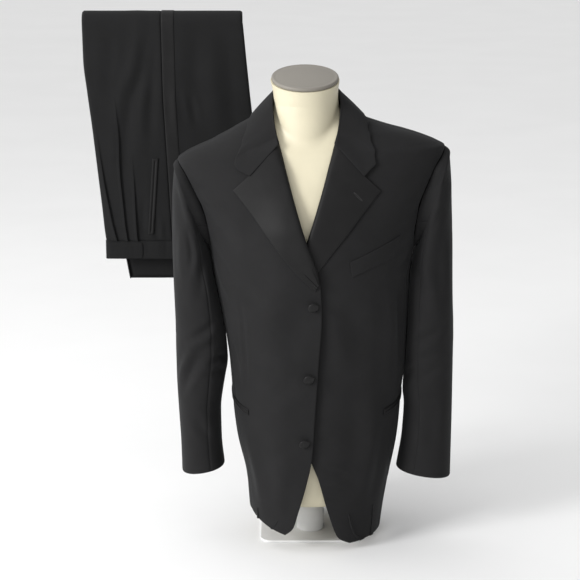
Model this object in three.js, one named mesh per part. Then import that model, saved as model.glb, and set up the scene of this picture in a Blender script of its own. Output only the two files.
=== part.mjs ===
// A two-piece tuxedo: the jacket on a limbless dress form, the trousers folded over a rail behind it.
// Millimetres, +Z up. The front faces -Y and +X is the wearer's left.
// The origin lies on the floor under the middle of the dress form.
import * as THREE from "three";

// Cloth and seams
const JACKET_WALL = 2; // faced, lined wool
const TROUSER_WALL = 1.6;
const SEAM_ANGLE = 0.07; // degrees on each side of a seam, about 0.3 mm between two panels
const SEAM_GAP = 0.3;
const LAPEL_MIRROR = -18; // wearer's left lapel: x = LAPEL_MIRROR - x of the wearer's right one
const RIGHT = -1; // the wearer's right is on the -X side
const LEFT = 1;

// Colours
const WOOL = 0x2c2c2e;
const SATIN = 0x1d1d1f;
const CREAM = 0xe6e0c8;
const TAUPE = 0x8d867c;
const STEEL = 0xc9c9c6;

const material = (color, roughness, metalness = 0) =>
  new THREE.MeshStandardMaterial({ color, roughness, metalness });
const wool = material(WOOL, 0.9);
const satin = material(SATIN, 0.45);
const fibreglass = material(CREAM, 0.5);
const capPaint = material(TAUPE, 0.6);
const steel = material(STEEL, 0.4, 0.6);

const tuxedo = new THREE.Group();

function add(name, geometry, finish) {
  const mesh = new THREE.Mesh(geometry, finish);
  mesh.name = name;
  tuxedo.add(mesh);
}

// A smooth monotone curve through one column of a table, by another column that only grows.
function column(table, key, by = "z") {
  const at = table.map((row) => row[by]);
  const value = table.map((row) => row[key]);
  const slope = at.slice(1).map((_, i) => (value[i + 1] - value[i]) / (at[i + 1] - at[i]));
  const tangent = at.map((_, i) => {
    if (i === 0) return slope[0];
    if (i === slope.length) return slope[i - 1];
    if (slope[i - 1] * slope[i] <= 0) return 0;
    return 2 / (1 / slope[i - 1] + 1 / slope[i]);
  });
  return (x) => {
    const last = at.length - 2;
    let i = 0;
    while (i < last && x > at[i + 1]) i += 1;
    const width = at[i + 1] - at[i];
    const t = THREE.MathUtils.clamp((x - at[i]) / width, 0, 1);
    const rise = t * t * (3 - 2 * t);
    const bend = tangent[i] * t * (1 - t) * (1 - t) - tangent[i + 1] * t * t * (1 - t);
    return value[i] + (value[i + 1] - value[i]) * rise + bend * width;
  };
}

const radians = THREE.MathUtils.degToRad;
const lerp = THREE.MathUtils.lerp;
const ramp = (x, from, to) => THREE.MathUtils.smoothstep(x, from, to);

// Rows numbered 0, 1, 2 ... with `between` steps from one to the next, each column smoothed.
function spread(guides, keys, between) {
  const numbered = guides.map((guide, row) => ({ ...guide, row }));
  const curves = keys.map((key) => column(numbered, key, "row"));
  const count = (guides.length - 1) * between;
  return Array.from({ length: count + 1 }, (_, step) =>
    Object.fromEntries(keys.map((key, k) => [key, curves[k](step / between)])));
}

// A closed solid from points and triangles, turned so that its faces point out.
function closed(points, faces) {
  let volume = 0;
  for (let i = 0; i < faces.length; i += 3) {
    const [a, b, c] = [points[faces[i]], points[faces[i + 1]], points[faces[i + 2]]];
    volume += a.dot(b.clone().cross(c));
  }
  if (volume < 0) faces.reverse();
  const geometry = new THREE.BufferGeometry().setFromPoints(points);
  geometry.setIndex(faces);
  geometry.computeVertexNormals();
  return geometry;
}

// A wall between two grids of points, grid[row][column].
function wall(outer, inner) {
  const [rows, columns] = [outer.length, outer[0].length];
  const points = [...outer.flat(), ...inner.flat()];
  const out = (r, c) => r * columns + c;
  const inn = (r, c) => (rows + r) * columns + c;
  const faces = [];
  const quad = (a, b, c, d) => faces.push(a, b, c, a, c, d);
  for (let r = 0; r < rows - 1; r += 1) {
    for (let c = 0; c < columns - 1; c += 1) {
      quad(out(r, c), out(r, c + 1), out(r + 1, c + 1), out(r + 1, c));
      quad(inn(r, c), inn(r + 1, c), inn(r + 1, c + 1), inn(r, c + 1));
    }
  }
  const [top, end] = [rows - 1, columns - 1];
  for (let c = 0; c < end; c += 1) {
    quad(inn(0, c), inn(0, c + 1), out(0, c + 1), out(0, c));
    quad(out(top, c), out(top, c + 1), inn(top, c + 1), inn(top, c));
  }
  for (let r = 0; r < top; r += 1) {
    quad(out(r, 0), out(r + 1, 0), inn(r + 1, 0), inn(r, 0));
    quad(inn(r, end), inn(r + 1, end), out(r + 1, end), out(r, end));
  }
  return closed(points, faces);
}

// The grid moved along its own normals, to the side that `away` points from.
function thickened(grid, thickness, away) {
  const at = (list, i) => list[THREE.MathUtils.clamp(i, 0, list.length - 1)];
  return grid.map((row, r) => row.map((point, c) => {
    const along = at(row, c + 1).clone().sub(at(row, c - 1));
    const up = at(grid, r + 1)[c].clone().sub(at(grid, r - 1)[c]);
    const normal = along.cross(up).normalize();
    const outward = away(point);
    if (normal.dot(outward) < 0) normal.negate();
    return point.clone().addScaledVector(normal, -thickness);
  }));
}

// A closed solid through rings of equal length, with a flat fan at each end.
function loft(rings) {
  const count = rings[0].length;
  const points = rings.flat();
  const faces = [];
  for (let r = 0; r < rings.length - 1; r += 1) {
    for (let c = 0; c < count; c += 1) {
      const [a, b] = [r * count + c, r * count + ((c + 1) % count)];
      faces.push(a, b, b + count, a, b + count, a + count);
    }
  }
  const middle = (ring) => ring.reduce((sum, p) => sum.add(p), new THREE.Vector3()).divideScalar(count);
  const [bottom, top] = [points.length, points.length + 1];
  points.push(middle(rings[0]), middle(rings.at(-1)));
  const last = (rings.length - 1) * count;
  for (let c = 0; c < count; c += 1) {
    const next = (c + 1) % count;
    faces.push(bottom, next, c, top, last + c, last + next);
  }
  return closed(points, faces);
}

// Jacket body
// Level sections of the worn jacket's outer face: half widths to each side of x = 0, depths and
// the power of the rounded outline. From 724 mm up the half widths run along the shoulder line.
const BODY = [
  { z: 0, right: 111, left: 130, front: 110, back: 112, power: 2.3 },
  { z: 66, right: 116, left: 138, front: 113, back: 114, power: 2.3 },
  { z: 126, right: 121, left: 148, front: 116, back: 115, power: 2.3 },
  { z: 206, right: 137, left: 161, front: 119, back: 115, power: 2.3 },
  { z: 282, right: 146, left: 168, front: 121, back: 113, power: 2.3 },
  { z: 357, right: 152, left: 177, front: 122, back: 110, power: 2.3 },
  { z: 444, right: 166, left: 180, front: 125, back: 108, power: 2.3 },
  { z: 509, right: 178, left: 181, front: 129, back: 111, power: 2.3 },
  { z: 553, right: 184, left: 186, front: 131, back: 114, power: 2.3 },
  { z: 594, right: 191, left: 192, front: 128, back: 116, power: 2.3 },
  { z: 637, right: 206, left: 203, front: 118, back: 114, power: 2.3 },
  { z: 668, right: 220, left: 214, front: 109, back: 110, power: 2.3 },
  { z: 705, right: 238, left: 230, front: 95, back: 105, power: 2.3 },
  { z: 724, right: 243, left: 238, front: 87, back: 102, power: 2.3 },
  { z: 735, right: 230, left: 241, front: 82, back: 100, power: 2.3 },
  { z: 748, right: 204, left: 242, front: 76, back: 97, power: 2.25 },
  { z: 757, right: 184, left: 228, front: 70, back: 94, power: 2.2 },
  { z: 766, right: 168, left: 206, front: 64, back: 90, power: 2.2 },
  { z: 775, right: 151, left: 178, front: 58, back: 86, power: 2.2 },
  { z: 784, right: 136, left: 144, front: 52, back: 82, power: 2.15 },
  { z: 795, right: 116, left: 109, front: 44, back: 76, power: 2.15 },
  { z: 805, right: 99, left: 81, front: 36, back: 71, power: 2.1 },
  { z: 814, right: 84, left: 66, front: 30, back: 67, power: 2.1 },
  { z: 826, right: 74, left: 56, front: 25, back: 62, power: 2.1 },
];
const body = Object.fromEntries(
  ["right", "left", "front", "back", "power"].map((key) => [key, column(BODY, key)]));

// The section at height z, grown by `clearance`, upward too.
function section(side, z, clearance = 0) {
  const level = z - clearance;
  return {
    width: (side === LEFT ? body.left(level) : body.right(level)) + clearance,
    front: body.front(level) + clearance,
    back: body.back(level) + clearance,
    power: body.power(level),
  };
}

// A point on the grown section; angle 0 is centre front, 90 the side, 180 centre back.
function onBody(side, angle, z, clearance = 0) {
  const { width, front, back, power } = section(side, z, clearance);
  const [sine, cosine] = [Math.sin(radians(angle)), Math.cos(radians(angle))];
  const x = side * width * Math.abs(sine) ** (2 / power);
  const depth = Math.abs(cosine) ** (2 / power);
  return new THREE.Vector3(x, cosine > 0 ? -front * depth : back * depth, z);
}

// The signed angle at which the front of the section has this x.
function angleOf(x, z) {
  const side = x < 0 ? RIGHT : LEFT;
  const { width, power } = section(side, z);
  const angle = Math.asin(Math.min(1, (Math.abs(x) / width) ** (power / 2)));
  return side * THREE.MathUtils.radToDeg(angle);
}

const signedOnBody = (angle, z, clearance) =>
  onBody(angle < 0 ? RIGHT : LEFT, Math.abs(angle), z, clearance);

// The wearer's right front stands off the body where it laps over the left one.
const LAP_STAND = 9;
const LAP_FROM = -118;
const LAP_FULL = -42;
const LAP_TOP = 700;
const LAP_TOP_FULL = 610;
function lapStand(x, z) {
  const across = ramp(x, LAP_FROM, LAP_FULL);
  const up = 1 - ramp(z, LAP_TOP_FULL, LAP_TOP);
  const down = lerp(0.6, 1, ramp(z, 60, 200));
  return LAP_STAND * across * up * down;
}

// Armholes: angle of the front and back edge at each height, underarm to shoulder point.
const UNDERARM = { z: 566, front: 81, back: 99 };
const ARMHOLE = {
  [RIGHT]: [
    { z: 558, front: 90, back: 90 },
    UNDERARM,
    { z: 610, front: 74, back: 106 },
    { z: 656, front: 71, back: 110 },
    { z: 696, front: 72, back: 108 },
    { z: 716, front: 79, back: 101 },
    { z: 724, front: 90, back: 90 },
  ],
  [LEFT]: [
    { z: 558, front: 90, back: 90 },
    UNDERARM,
    { z: 610, front: 74, back: 106 },
    { z: 664, front: 69, back: 110 },
    { z: 712, front: 70, back: 108 },
    { z: 738, front: 79, back: 101 },
    { z: 748, front: 90, back: 90 },
  ],
};
// The side seams, straight up to 515 mm, then out to the underarm and on round the armhole.
const SIDE_SEAMS = [{ z: 0, front: 72, back: 108 }, { z: 515, front: 72, back: 108 }];
const seamAngle = (side, key) => column([...SIDE_SEAMS, ...ARMHOLE[side].slice(1)], key);

// Fronts. Each row runs from the front edge (x, z) to the side seam or armhole at height sideZ.
const FRONT_KEYS = ["edgeX", "edgeZ", "sideZ"];
function frontGuides(side, edges, sideHeights) {
  const heights = [...sideHeights, ...ARMHOLE[side].slice(1).map(({ z }) => z)];
  return edges.map((edge, i) => ({ ...edge, sideZ: heights[i] }));
}
// From the rounded hem corner up the cutaway edge to the lapel's break at 515 mm.
const RIGHT_EDGE = [
  { edgeX: -46, edgeZ: 35 },
  { edgeX: -33, edgeZ: 48 },
  { edgeX: -21, edgeZ: 88 },
  { edgeX: -8, edgeZ: 140 },
  { edgeX: 1, edgeZ: 190 },
  { edgeX: 6, edgeZ: 270 },
  { edgeX: 12, edgeZ: 370 },
  { edgeX: 17, edgeZ: 455 },
  { edgeX: 15, edgeZ: 515 },
];
const LEFT_EDGE = [
  { edgeX: 72, edgeZ: 14 },
  { edgeX: 51, edgeZ: 27 },
  { edgeX: 30, edgeZ: 84 },
  { edgeX: 13, edgeZ: 146 },
  { edgeX: -3, edgeZ: 190 },
  { edgeX: -16, edgeZ: 270 },
  { edgeX: -26, edgeZ: 370 },
  { edgeX: -32, edgeZ: 455 },
  { edgeX: -33, edgeZ: 515 },
];
// The roll line from the break to the neck, for the wearer's right; the left one is mirrored.
const ROLL_EDGE = [
  { edgeX: 1, edgeZ: 572 },
  { edgeX: -16, edgeZ: 622 },
  { edgeX: -37, edgeZ: 688 },
  { edgeX: -58, edgeZ: 752 },
  { edgeX: -72, edgeZ: 795 },
  { edgeX: -84, edgeZ: 814 },
];
const RIGHT_HEM_HEIGHTS = [60, 78, 110, 155, 200, 275, 370, 455, 515];
const LEFT_HEM_HEIGHTS = [20, 42, 95, 150, 200, 275, 370, 455, 515];
const mirroredRoll = ROLL_EDGE.map(({ edgeX, edgeZ }) => ({ edgeX: LAPEL_MIRROR - edgeX, edgeZ }));

const FRONT_COLUMNS = 11;
function frontPanel(side, edges, roll, sideHeights, stand) {
  const rows = spread(frontGuides(side, [...edges, ...roll], sideHeights), FRONT_KEYS, 2);
  const seam = seamAngle(side, "front");
  const grid = (clearance) => rows.map((row, r) => {
    const atRidge = r === rows.length - 1;
    const from = atRidge ? side * (90 - SEAM_ANGLE) : angleOf(row.edgeX, row.edgeZ);
    const to = side * (seam(row.sideZ) - SEAM_ANGLE);
    return Array.from({ length: FRONT_COLUMNS + 1 }, (_, c) => {
      const angle = lerp(from, to, c / FRONT_COLUMNS);
      const z = lerp(row.edgeZ, row.sideZ, c / FRONT_COLUMNS);
      const { x } = signedOnBody(angle, z);
      return signedOnBody(angle, z, clearance + stand(x, z));
    });
  });
  return wall(grid(0), grid(-JACKET_WALL));
}
const flat = () => 0;
add("front_right", frontPanel(RIGHT, RIGHT_EDGE, ROLL_EDGE, RIGHT_HEM_HEIGHTS, lapStand), wool);
add("front_left", frontPanel(LEFT, LEFT_EDGE, mirroredRoll, LEFT_HEM_HEIGHTS, flat), wool);

// Side bodies, from hem to underarm.
const SIDE_COLUMNS = 4;
const UNDERARM_DIP = 8;
function sidePanel(side, hem) {
  const guides = [hem, 110, 200, 275, 370, 455, 515, UNDERARM.z].map((z) => ({ z }));
  const rows = spread(guides, ["z"], 2);
  const [front, back] = [seamAngle(side, "front"), seamAngle(side, "back")];
  const grid = (clearance) => rows.map(({ z }, r) =>
    Array.from({ length: SIDE_COLUMNS + 1 }, (_, c) => {
      const across = c / SIDE_COLUMNS;
      const angle = lerp(front(z) + SEAM_ANGLE, back(z) - SEAM_ANGLE, across);
      const dip = r === rows.length - 1 ? UNDERARM_DIP * Math.sin(Math.PI * across) : 0;
      return onBody(side, angle, z - dip, clearance);
    }));
  return wall(grid(0), grid(-JACKET_WALL));
}
const RIGHT_SIDE_HEM = 60;
const LEFT_SIDE_HEM = 20;
add("side_right", sidePanel(RIGHT, RIGHT_SIDE_HEM), wool);
add("side_left", sidePanel(LEFT, LEFT_SIDE_HEM), wool);

// Backs. Each row runs from the centre back seam or the back neck to the side seam or armhole.
const BACK_COLUMNS = 8;
function backPanel(side, hem, sideHem) {
  const arm = ARMHOLE[side].slice(1).map(({ z }) => z);
  const guides = [
    { edgeAngle: 180, edgeZ: hem, sideZ: sideHem },
    ...[110, 200, 275, 370, 455, 515].map((z) => ({ edgeAngle: 180, edgeZ: z, sideZ: z })),
    { edgeAngle: 180, edgeZ: 572, sideZ: arm[0] },
    { edgeAngle: 180, edgeZ: 640, sideZ: arm[1] },
    { edgeAngle: 180, edgeZ: 712, sideZ: arm[2] },
    { edgeAngle: 180, edgeZ: 780, sideZ: arm[3] },
    { edgeAngle: 172, edgeZ: 818, sideZ: arm[4] },
    { edgeAngle: 132, edgeZ: 818, sideZ: arm[5] - 2 },
    { edgeAngle: 90, edgeZ: 814, sideZ: arm[5] },
  ];
  const rows = spread(guides, ["edgeAngle", "edgeZ", "sideZ"], 2);
  const seam = seamAngle(side, "back");
  const grid = (clearance) => rows.map((row) =>
    Array.from({ length: BACK_COLUMNS + 1 }, (_, c) => {
      const across = c / BACK_COLUMNS;
      const edge = THREE.MathUtils.clamp(row.edgeAngle, 90 + SEAM_ANGLE, 180 - SEAM_ANGLE);
      const angle = lerp(edge, seam(row.sideZ) + SEAM_ANGLE, across);
      return onBody(side, angle, lerp(row.edgeZ, row.sideZ, across), clearance);
    }));
  return wall(grid(0), grid(-JACKET_WALL));
}
const BACK_HEM = 40;
add("back_right", backPanel(RIGHT, BACK_HEM, RIGHT_SIDE_HEM), wool);
add("back_left", backPanel(LEFT, BACK_HEM, LEFT_SIDE_HEM), wool);

// Lapels, for the wearer's right: rows from the break to the gorge, roll line to outer edge.
const LAPEL = [
  { rollX: 13, rollZ: 524, edgeX: 5, edgeZ: 510 },
  { rollX: 5, rollZ: 560, edgeX: -26, edgeZ: 541 },
  { rollX: -9, rollZ: 602, edgeX: -54, edgeZ: 577 },
  { rollX: -23, rollZ: 645, edgeX: -83, edgeZ: 613 },
  { rollX: -37, rollZ: 688, edgeX: -112, edgeZ: 650 },
  { rollX: -51, rollZ: 731, edgeX: -138, edgeZ: 681 },
  { rollX: -63.5, rollZ: 766, edgeX: -141, edgeZ: 683 },
];
// The fold at the roll line, then the flat of the lapel: how far each column lies from the roll
// line toward the outer edge, and how far its outer and inner face stand off the front.
const LAPEL_PROFILE = [
  { along: -3.7, out: -0.8, innerAlong: -1.9, innerOut: -0.8, share: 0 },
  { along: -3.5, out: 2.2, innerAlong: -1.8, innerOut: 1.2, share: 0 },
  { along: 0, out: 4.4, innerAlong: 0.4, innerOut: 2.7, share: 0 },
  { along: 3, out: 5, innerAlong: 3, innerOut: 3.1, share: 0.06 },
  { along: 0, out: 5, innerAlong: 0, innerOut: 3.1, share: 0.2 },
  { along: 0, out: 4.4, innerAlong: 0, innerOut: 2.5, share: 0.4 },
  { along: 0, out: 3.4, innerAlong: 0, innerOut: 1.6, share: 0.6 },
  { along: 0, out: 2.8, innerAlong: 0, innerOut: 1, share: 0.8 },
  { along: 0, out: 2.5, innerAlong: 0, innerOut: 0.6, share: 1 },
];
// The lapel's top edge runs straight from the roll line down to the notch, then on to its tip.
const NOTCH_SAG = 5;
const NOTCH_SHARE = 0.6;
function lapel(side, stand) {
  const rows = spread(LAPEL, ["rollX", "rollZ", "edgeX", "edgeZ"], 2);
  const across = (x) => (side === RIGHT ? x : LAPEL_MIRROR - x);
  const grid = (alongKey, outKey) => rows.map((row, r) => LAPEL_PROFILE.map((profile) => {
    const { share } = profile;
    const drop = Math.min(share / NOTCH_SHARE, (1 - share) / (1 - NOTCH_SHARE));
    const sag = r === rows.length - 1 ? NOTCH_SAG * drop : 0;
    const narrow = Math.min(1, (row.rollX - row.edgeX) / 20);
    const x = lerp(row.rollX, row.edgeX, share) - profile[alongKey] * narrow;
    const z = lerp(row.rollZ, row.edgeZ, share) - sag;
    const worldX = across(x);
    return signedOnBody(angleOf(worldX, z), z, profile[outKey] + stand(worldX, z));
  }));
  return wall(grid("along", "out"), grid("innerAlong", "innerOut"));
}
add("lapel_right", lapel(RIGHT, lapStand), satin);
add("lapel_left", lapel(LEFT, flat), satin);

// Collar: half of the fold line and of the outer edge, from the gorge to centre back. An edge
// with an x lies on the front of the body; one with an angle lies on its side or back.
const NECK_X = -9;
const COLLAR = [
  { foldX: -64, foldY: -66, foldZ: 777, edgeX: -135, edgeZ: 725 },
  { foldX: -66, foldY: -58, foldZ: 781, edgeX: -128, edgeZ: 743 },
  { foldX: -70, foldY: -42, foldZ: 802, edgeX: -119, edgeZ: 765 },
  { foldX: -73, foldY: -18, foldZ: 828, edgeX: -109, edgeZ: 789 },
  { foldX: -72.5, foldY: 6, foldZ: 842, edgeAngle: 90, edgeZ: 803 },
  { foldX: -62, foldY: 35, foldZ: 849, edgeAngle: 117, edgeZ: 801 },
  { foldX: -40, foldY: 54, foldZ: 852, edgeAngle: 148, edgeZ: 799 },
  { foldX: NECK_X, foldY: 61.5, foldZ: 853, edgeAngle: 180, edgeZ: 798 },
];
// The collar's front end follows the lapel's top edge down to the notch, then turns out to its
// own point, which lies a little off the table's first edge on each side.
const NOTCH = { x: -110.5, z: 714.5, column: 3 };
const NOTCH_FADE = [1, 0.45, 0.15];
const COLLAR_POINT = { [RIGHT]: { x: 4, z: -5 }, [LEFT]: { x: -4, z: 5 } };
const COLLAR_ROWS = 4;
const COLLAR_CLEARANCE = 3;
const COLLAR_PUFF = 3;
const COLLAR_WALL = 1.8;
function pushedOut(point, clearance) {
  const side = point.x < 0 ? RIGHT : LEFT;
  if (point.z - clearance > BODY.at(-1).z) return point;
  const { width, front, back, power } = section(side, point.z, clearance);
  const depth = point.y < 0 ? front : back;
  const reach = (Math.abs(point.x / width) ** power + Math.abs(point.y / depth) ** power) ** (1 / power);
  if (reach < 1) {
    point.x /= reach;
    point.y /= reach;
  }
  return point;
}
const collarAcross = (side, x) => (side === RIGHT ? x : 2 * NECK_X - x);
// The point moved along y to `clearance` outside the body's front.
function ontoFront(point, clearance) {
  const { y } = signedOnBody(angleOf(point.x, point.z), point.z, clearance);
  if (point.y > y) point.y = y;
  return point;
}
function collarLines(side) {
  const guides = COLLAR.map((row, i) => {
    const shift = i === 0 ? COLLAR_POINT[side] : { x: 0, z: 0 };
    const edgeZ = row.edgeZ + shift.z;
    const edgeAngle = row.edgeAngle ?? Math.abs(angleOf(collarAcross(side, row.edgeX + shift.x), edgeZ));
    return { ...row, edgeZ, edgeAngle };
  });
  const rows = spread(guides, ["foldX", "foldY", "foldZ", "edgeAngle", "edgeZ"], 2);
  const lines = rows.map((row) => {
    const foldX = collarAcross(side, row.foldX);
    const fold = new THREE.Vector3(foldX, row.foldY, row.foldZ);
    const edge = onBody(side, row.edgeAngle, row.edgeZ, COLLAR_CLEARANCE);
    const outward = new THREE.Vector3(foldX - NECK_X, row.foldY, 0).normalize();
    return Array.from({ length: COLLAR_ROWS + 1 }, (_, c) => {
      const down = c / COLLAR_ROWS;
      const point = fold.clone().lerp(edge, down);
      point.addScaledVector(outward, COLLAR_PUFF * Math.sin(Math.PI * down));
      return point;
    });
  });
  const corner = lines[0][NOTCH.column];
  const shiftX = collarAcross(side, NOTCH.x) - corner.x;
  const shiftZ = NOTCH.z - corner.z;
  return lines.map((line, r) => line.map((point, c) => {
    if (r >= NOTCH_FADE.length) return pushedOut(point, COLLAR_CLEARANCE);
    const share = c > NOTCH.column ? 0 : NOTCH_FADE[r] * (c / NOTCH.column);
    point.x += share * shiftX;
    point.z += share * shiftZ;
    return ontoFront(point, COLLAR_CLEARANCE);
  }));
}
function collar() {
  const grid = [
    ...collarLines(RIGHT),
    ...collarLines(LEFT).slice(0, -1).reverse(),
  ];
  const away = (p) => new THREE.Vector3(p.x - NECK_X, p.y, 60);
  return wall(grid, thickened(grid, COLLAR_WALL, away));
}
add("collar", collar(), wool);

// Sleeves: level rows by the height and x of the outer and of the inner side, with the y of the
// front and the back. The first row is the armhole itself.
const SLEEVE = {
  [RIGHT]: [
    { outX: 249, outZ: 714, inX: 191, inZ: 566, front: -54, back: 56 },
    { outX: 252, outZ: 680, inX: 182, inZ: 540, front: -61, back: 60 },
    { outX: 254, outZ: 620, inX: 172, inZ: 496, front: -63, back: 58 },
    { outX: 255, outZ: 540, inX: 160, inZ: 450, front: -64, back: 54 },
    { outX: 253, outZ: 460, inX: 153, inZ: 396, front: -64, back: 50 },
    { outX: 251, outZ: 394, inX: 154, inZ: 352, front: -63, back: 46 },
    { outX: 250, outZ: 320, inX: 161, inZ: 308, front: -61, back: 41 },
    { outX: 247, outZ: 255, inX: 168, inZ: 252, front: -62, back: 36 },
    { outX: 243.5, outZ: 190, inX: 167, inZ: 196, front: -63, back: 32 },
    { outX: 242, outZ: 133, inX: 162, inZ: 146, front: -64, back: 28 },
  ],
  [LEFT]: [
    { outX: 250, outZ: 738, inX: 193, inZ: 566, front: -54, back: 56 },
    { outX: 254, outZ: 690, inX: 184, inZ: 540, front: -61, back: 60 },
    { outX: 257, outZ: 620, inX: 174, inZ: 496, front: -63, back: 58 },
    { outX: 261, outZ: 540, inX: 170, inZ: 450, front: -64, back: 54 },
    { outX: 263, outZ: 460, inX: 168, inZ: 396, front: -64, back: 50 },
    { outX: 264, outZ: 394, inX: 167, inZ: 352, front: -63, back: 46 },
    { outX: 264, outZ: 320, inX: 168, inZ: 305, front: -62, back: 41 },
    { outX: 264, outZ: 255, inX: 174, inZ: 262, front: -62, back: 36 },
    { outX: 263.5, outZ: 190, inX: 171, inZ: 206, front: -63, back: 32 },
    { outX: 263, outZ: 124, inX: 161, inZ: 140, front: -64, back: 28 },
  ],
};
const SLEEVE_POWER = 2.15;
const SLEEVE_SEAM = 112; // degrees from the outer side to each of the two sleeve seams
const ARMHOLE_CLEARANCE = 0.8;
const SLEEVE_CLEARANCE = 2.6;
const SLEEVE_KEYS = ["outX", "outZ", "inX", "inZ", "front", "back"];

// A ring runs from the outer side (0 degrees) to the front (90), the inner side and the back.
function armholeRing(side, turn) {
  const table = ARMHOLE[side];
  const [low, high] = [table[0].z, table.at(-1).z];
  const z = (low + high) / 2 + ((high - low) / 2) * Math.cos(radians(turn));
  const atFront = Math.sin(radians(turn)) >= 0;
  const angle = column(table, atFront ? "front" : "back")(z);
  return onBody(side, angle, z, ARMHOLE_CLEARANCE);
}
// The x at which the jacket's body has this y: where a sleeve hangs against it, it lies along it.
function bodySide(side, y, z) {
  const { width, front, back, power } = section(side, z);
  const share = Math.min(1, Math.abs(y) / (y < 0 ? front : back));
  return width * (1 - share ** power) ** (1 / power);
}
function sleeveRing(side, row, turn) {
  const [cosine, sine] = [Math.cos(radians(turn)), Math.sin(radians(turn))];
  const out = Math.sign(cosine) * Math.abs(cosine) ** (2 / SLEEVE_POWER);
  const forward = Math.sign(sine) * Math.abs(sine) ** (2 / SLEEVE_POWER);
  const x = lerp(row.inX, row.outX, (out + 1) / 2);
  const z = lerp(row.inZ, row.outZ, (out + 1) / 2);
  const y = lerp(row.back, row.front, (forward + 1) / 2);
  return new THREE.Vector3(side * Math.max(x, bodySide(side, y, z) + SLEEVE_CLEARANCE), y, z);
}
function sleevePiece(side, fromTurn, toTurn, columns) {
  const rows = spread(SLEEVE[side], SLEEVE_KEYS, 1);
  const turns = Array.from({ length: columns + 1 }, (_, c) => lerp(fromTurn, toTurn, c / columns));
  const grid = [
    turns.map((turn) => armholeRing(side, turn)),
    ...rows.map((row) => turns.map((turn) => sleeveRing(side, row, turn))),
  ];
  const centres = [
    armholeRing(side, 0).add(armholeRing(side, 180)).multiplyScalar(0.5),
    ...rows.map((row) => sleeveRing(side, row, 0).add(sleeveRing(side, row, 180)).multiplyScalar(0.5)),
  ];
  const inner = grid.map((ring, r) => ring.map((point) => {
    const inward = centres[r].clone().sub(point).normalize();
    return point.clone().addScaledVector(inward, JACKET_WALL);
  }));
  return wall(grid, inner);
}
const SLEEVE_GAP_ANGLE = 0.2; // about 0.3 mm between the upper and the under sleeve
for (const [side, name] of [[RIGHT, "right"], [LEFT, "left"]]) {
  const seam = SLEEVE_SEAM - SLEEVE_GAP_ANGLE;
  add(`sleeve_upper_${name}`, sleevePiece(side, -seam, seam, 14), wool);
  const under = SLEEVE_SEAM + SLEEVE_GAP_ANGLE;
  add(`sleeve_under_${name}`, sleevePiece(side, under, 360 - under, 8), wool);
}

// Patches that lie on the jacket: corners by x and z, rows across their width.
const PATCH_FACE = 2.2;
const PATCH_BACK = 0.6;
const WELT = { topX: [67, 160], topZ: [561, 600], bottomX: [71, 148], bottomZ: [533, 564] };
function breastWelt() {
  const [rows, columns] = [2, 8];
  const grid = (clearance) => Array.from({ length: rows + 1 }, (_, r) =>
    Array.from({ length: columns + 1 }, (_, c) => {
      const [down, across] = [r / rows, c / columns];
      const x = lerp(lerp(...WELT.topX, across), lerp(...WELT.bottomX, across), down);
      const z = lerp(lerp(...WELT.topZ, across), lerp(...WELT.bottomZ, across), down);
      return signedOnBody(angleOf(x, z), z, clearance);
    }));
  return wall(grid(PATCH_FACE), grid(PATCH_BACK));
}
add("breast_welt", breastWelt(), wool);

// Jetted hip pockets: a lip above and a lip below the slit, joined at both ends.
const HIP = { fromAngle: 50, toAngle: 112, fromZ: 266, toZ: 292, lip: 5, slit: 1.6, sunk: 0.9 };
function hipPocket(side) {
  const columns = 12;
  const slope = (HIP.toZ - HIP.fromZ) / (HIP.toAngle - HIP.fromAngle);
  const heights = [HIP.slit / 2 + HIP.lip, HIP.slit / 2 + HIP.lip / 2, HIP.slit / 2];
  const levels = [...heights, ...heights.map((h) => -h).reverse()];
  const grid = (clearance) => levels.map((level) =>
    Array.from({ length: columns + 1 }, (_, c) => {
      const angle = lerp(HIP.fromAngle, HIP.toAngle, c / columns);
      const z = HIP.fromZ + slope * (angle - HIP.fromAngle) + level;
      const inSlit = Math.abs(level) < HIP.lip / 2 && clearance === PATCH_FACE;
      return onBody(side, angle, z, clearance - (inSlit ? HIP.sunk : 0));
    }));
  return wall(grid(PATCH_FACE), grid(PATCH_BACK));
}
add("hip_pocket_right", hipPocket(RIGHT), satin);
add("hip_pocket_left", hipPocket(LEFT), satin);

// Covered buttons on short shanks, on the wearer's right front, drooping a little.
const BUTTON = { radius: 10, rim: 3, dome: 3, shank: 2.5, shankLength: 3.2 };
const BUTTONS = [
  { x: 1, z: 483, droop: 22, turn: 18, seat: 1.6 },
  { x: -6, z: 347, droop: 20, turn: 16, seat: 1.6 },
  { x: -13, z: 224, droop: 25, turn: 18, seat: 2 },
];
function button() {
  const { radius, rim, dome, shank, shankLength } = BUTTON;
  const profile = [new THREE.Vector2(0, 0), new THREE.Vector2(shank, 0)];
  profile.push(new THREE.Vector2(shank, shankLength), new THREE.Vector2(radius - 1.2, shankLength));
  profile.push(new THREE.Vector2(radius, shankLength + 1.2), new THREE.Vector2(radius, shankLength + rim - 1));
  for (let step = 1; step <= 3; step += 1) {
    const angle = radians(step * 30);
    const height = shankLength + rim - 1 + dome * Math.sin(angle);
    profile.push(new THREE.Vector2(step === 3 ? 0 : radius * Math.cos(angle), height));
  }
  return new THREE.LatheGeometry(profile, 14);
}
BUTTONS.forEach(({ x, z, droop, turn, seat: stand }, i) => {
  const geometry = button();
  const seat = signedOnBody(angleOf(x, z), z, lapStand(x, z) + stand);
  geometry.deleteAttribute("uv");
  geometry.deleteAttribute("normal");
  geometry.rotateX(radians(180 + droop));
  geometry.rotateZ(radians(turn));
  geometry.translate(seat.x, seat.y, seat.z);
  add(`button_${i + 1}`, geometry, satin);
});

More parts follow.
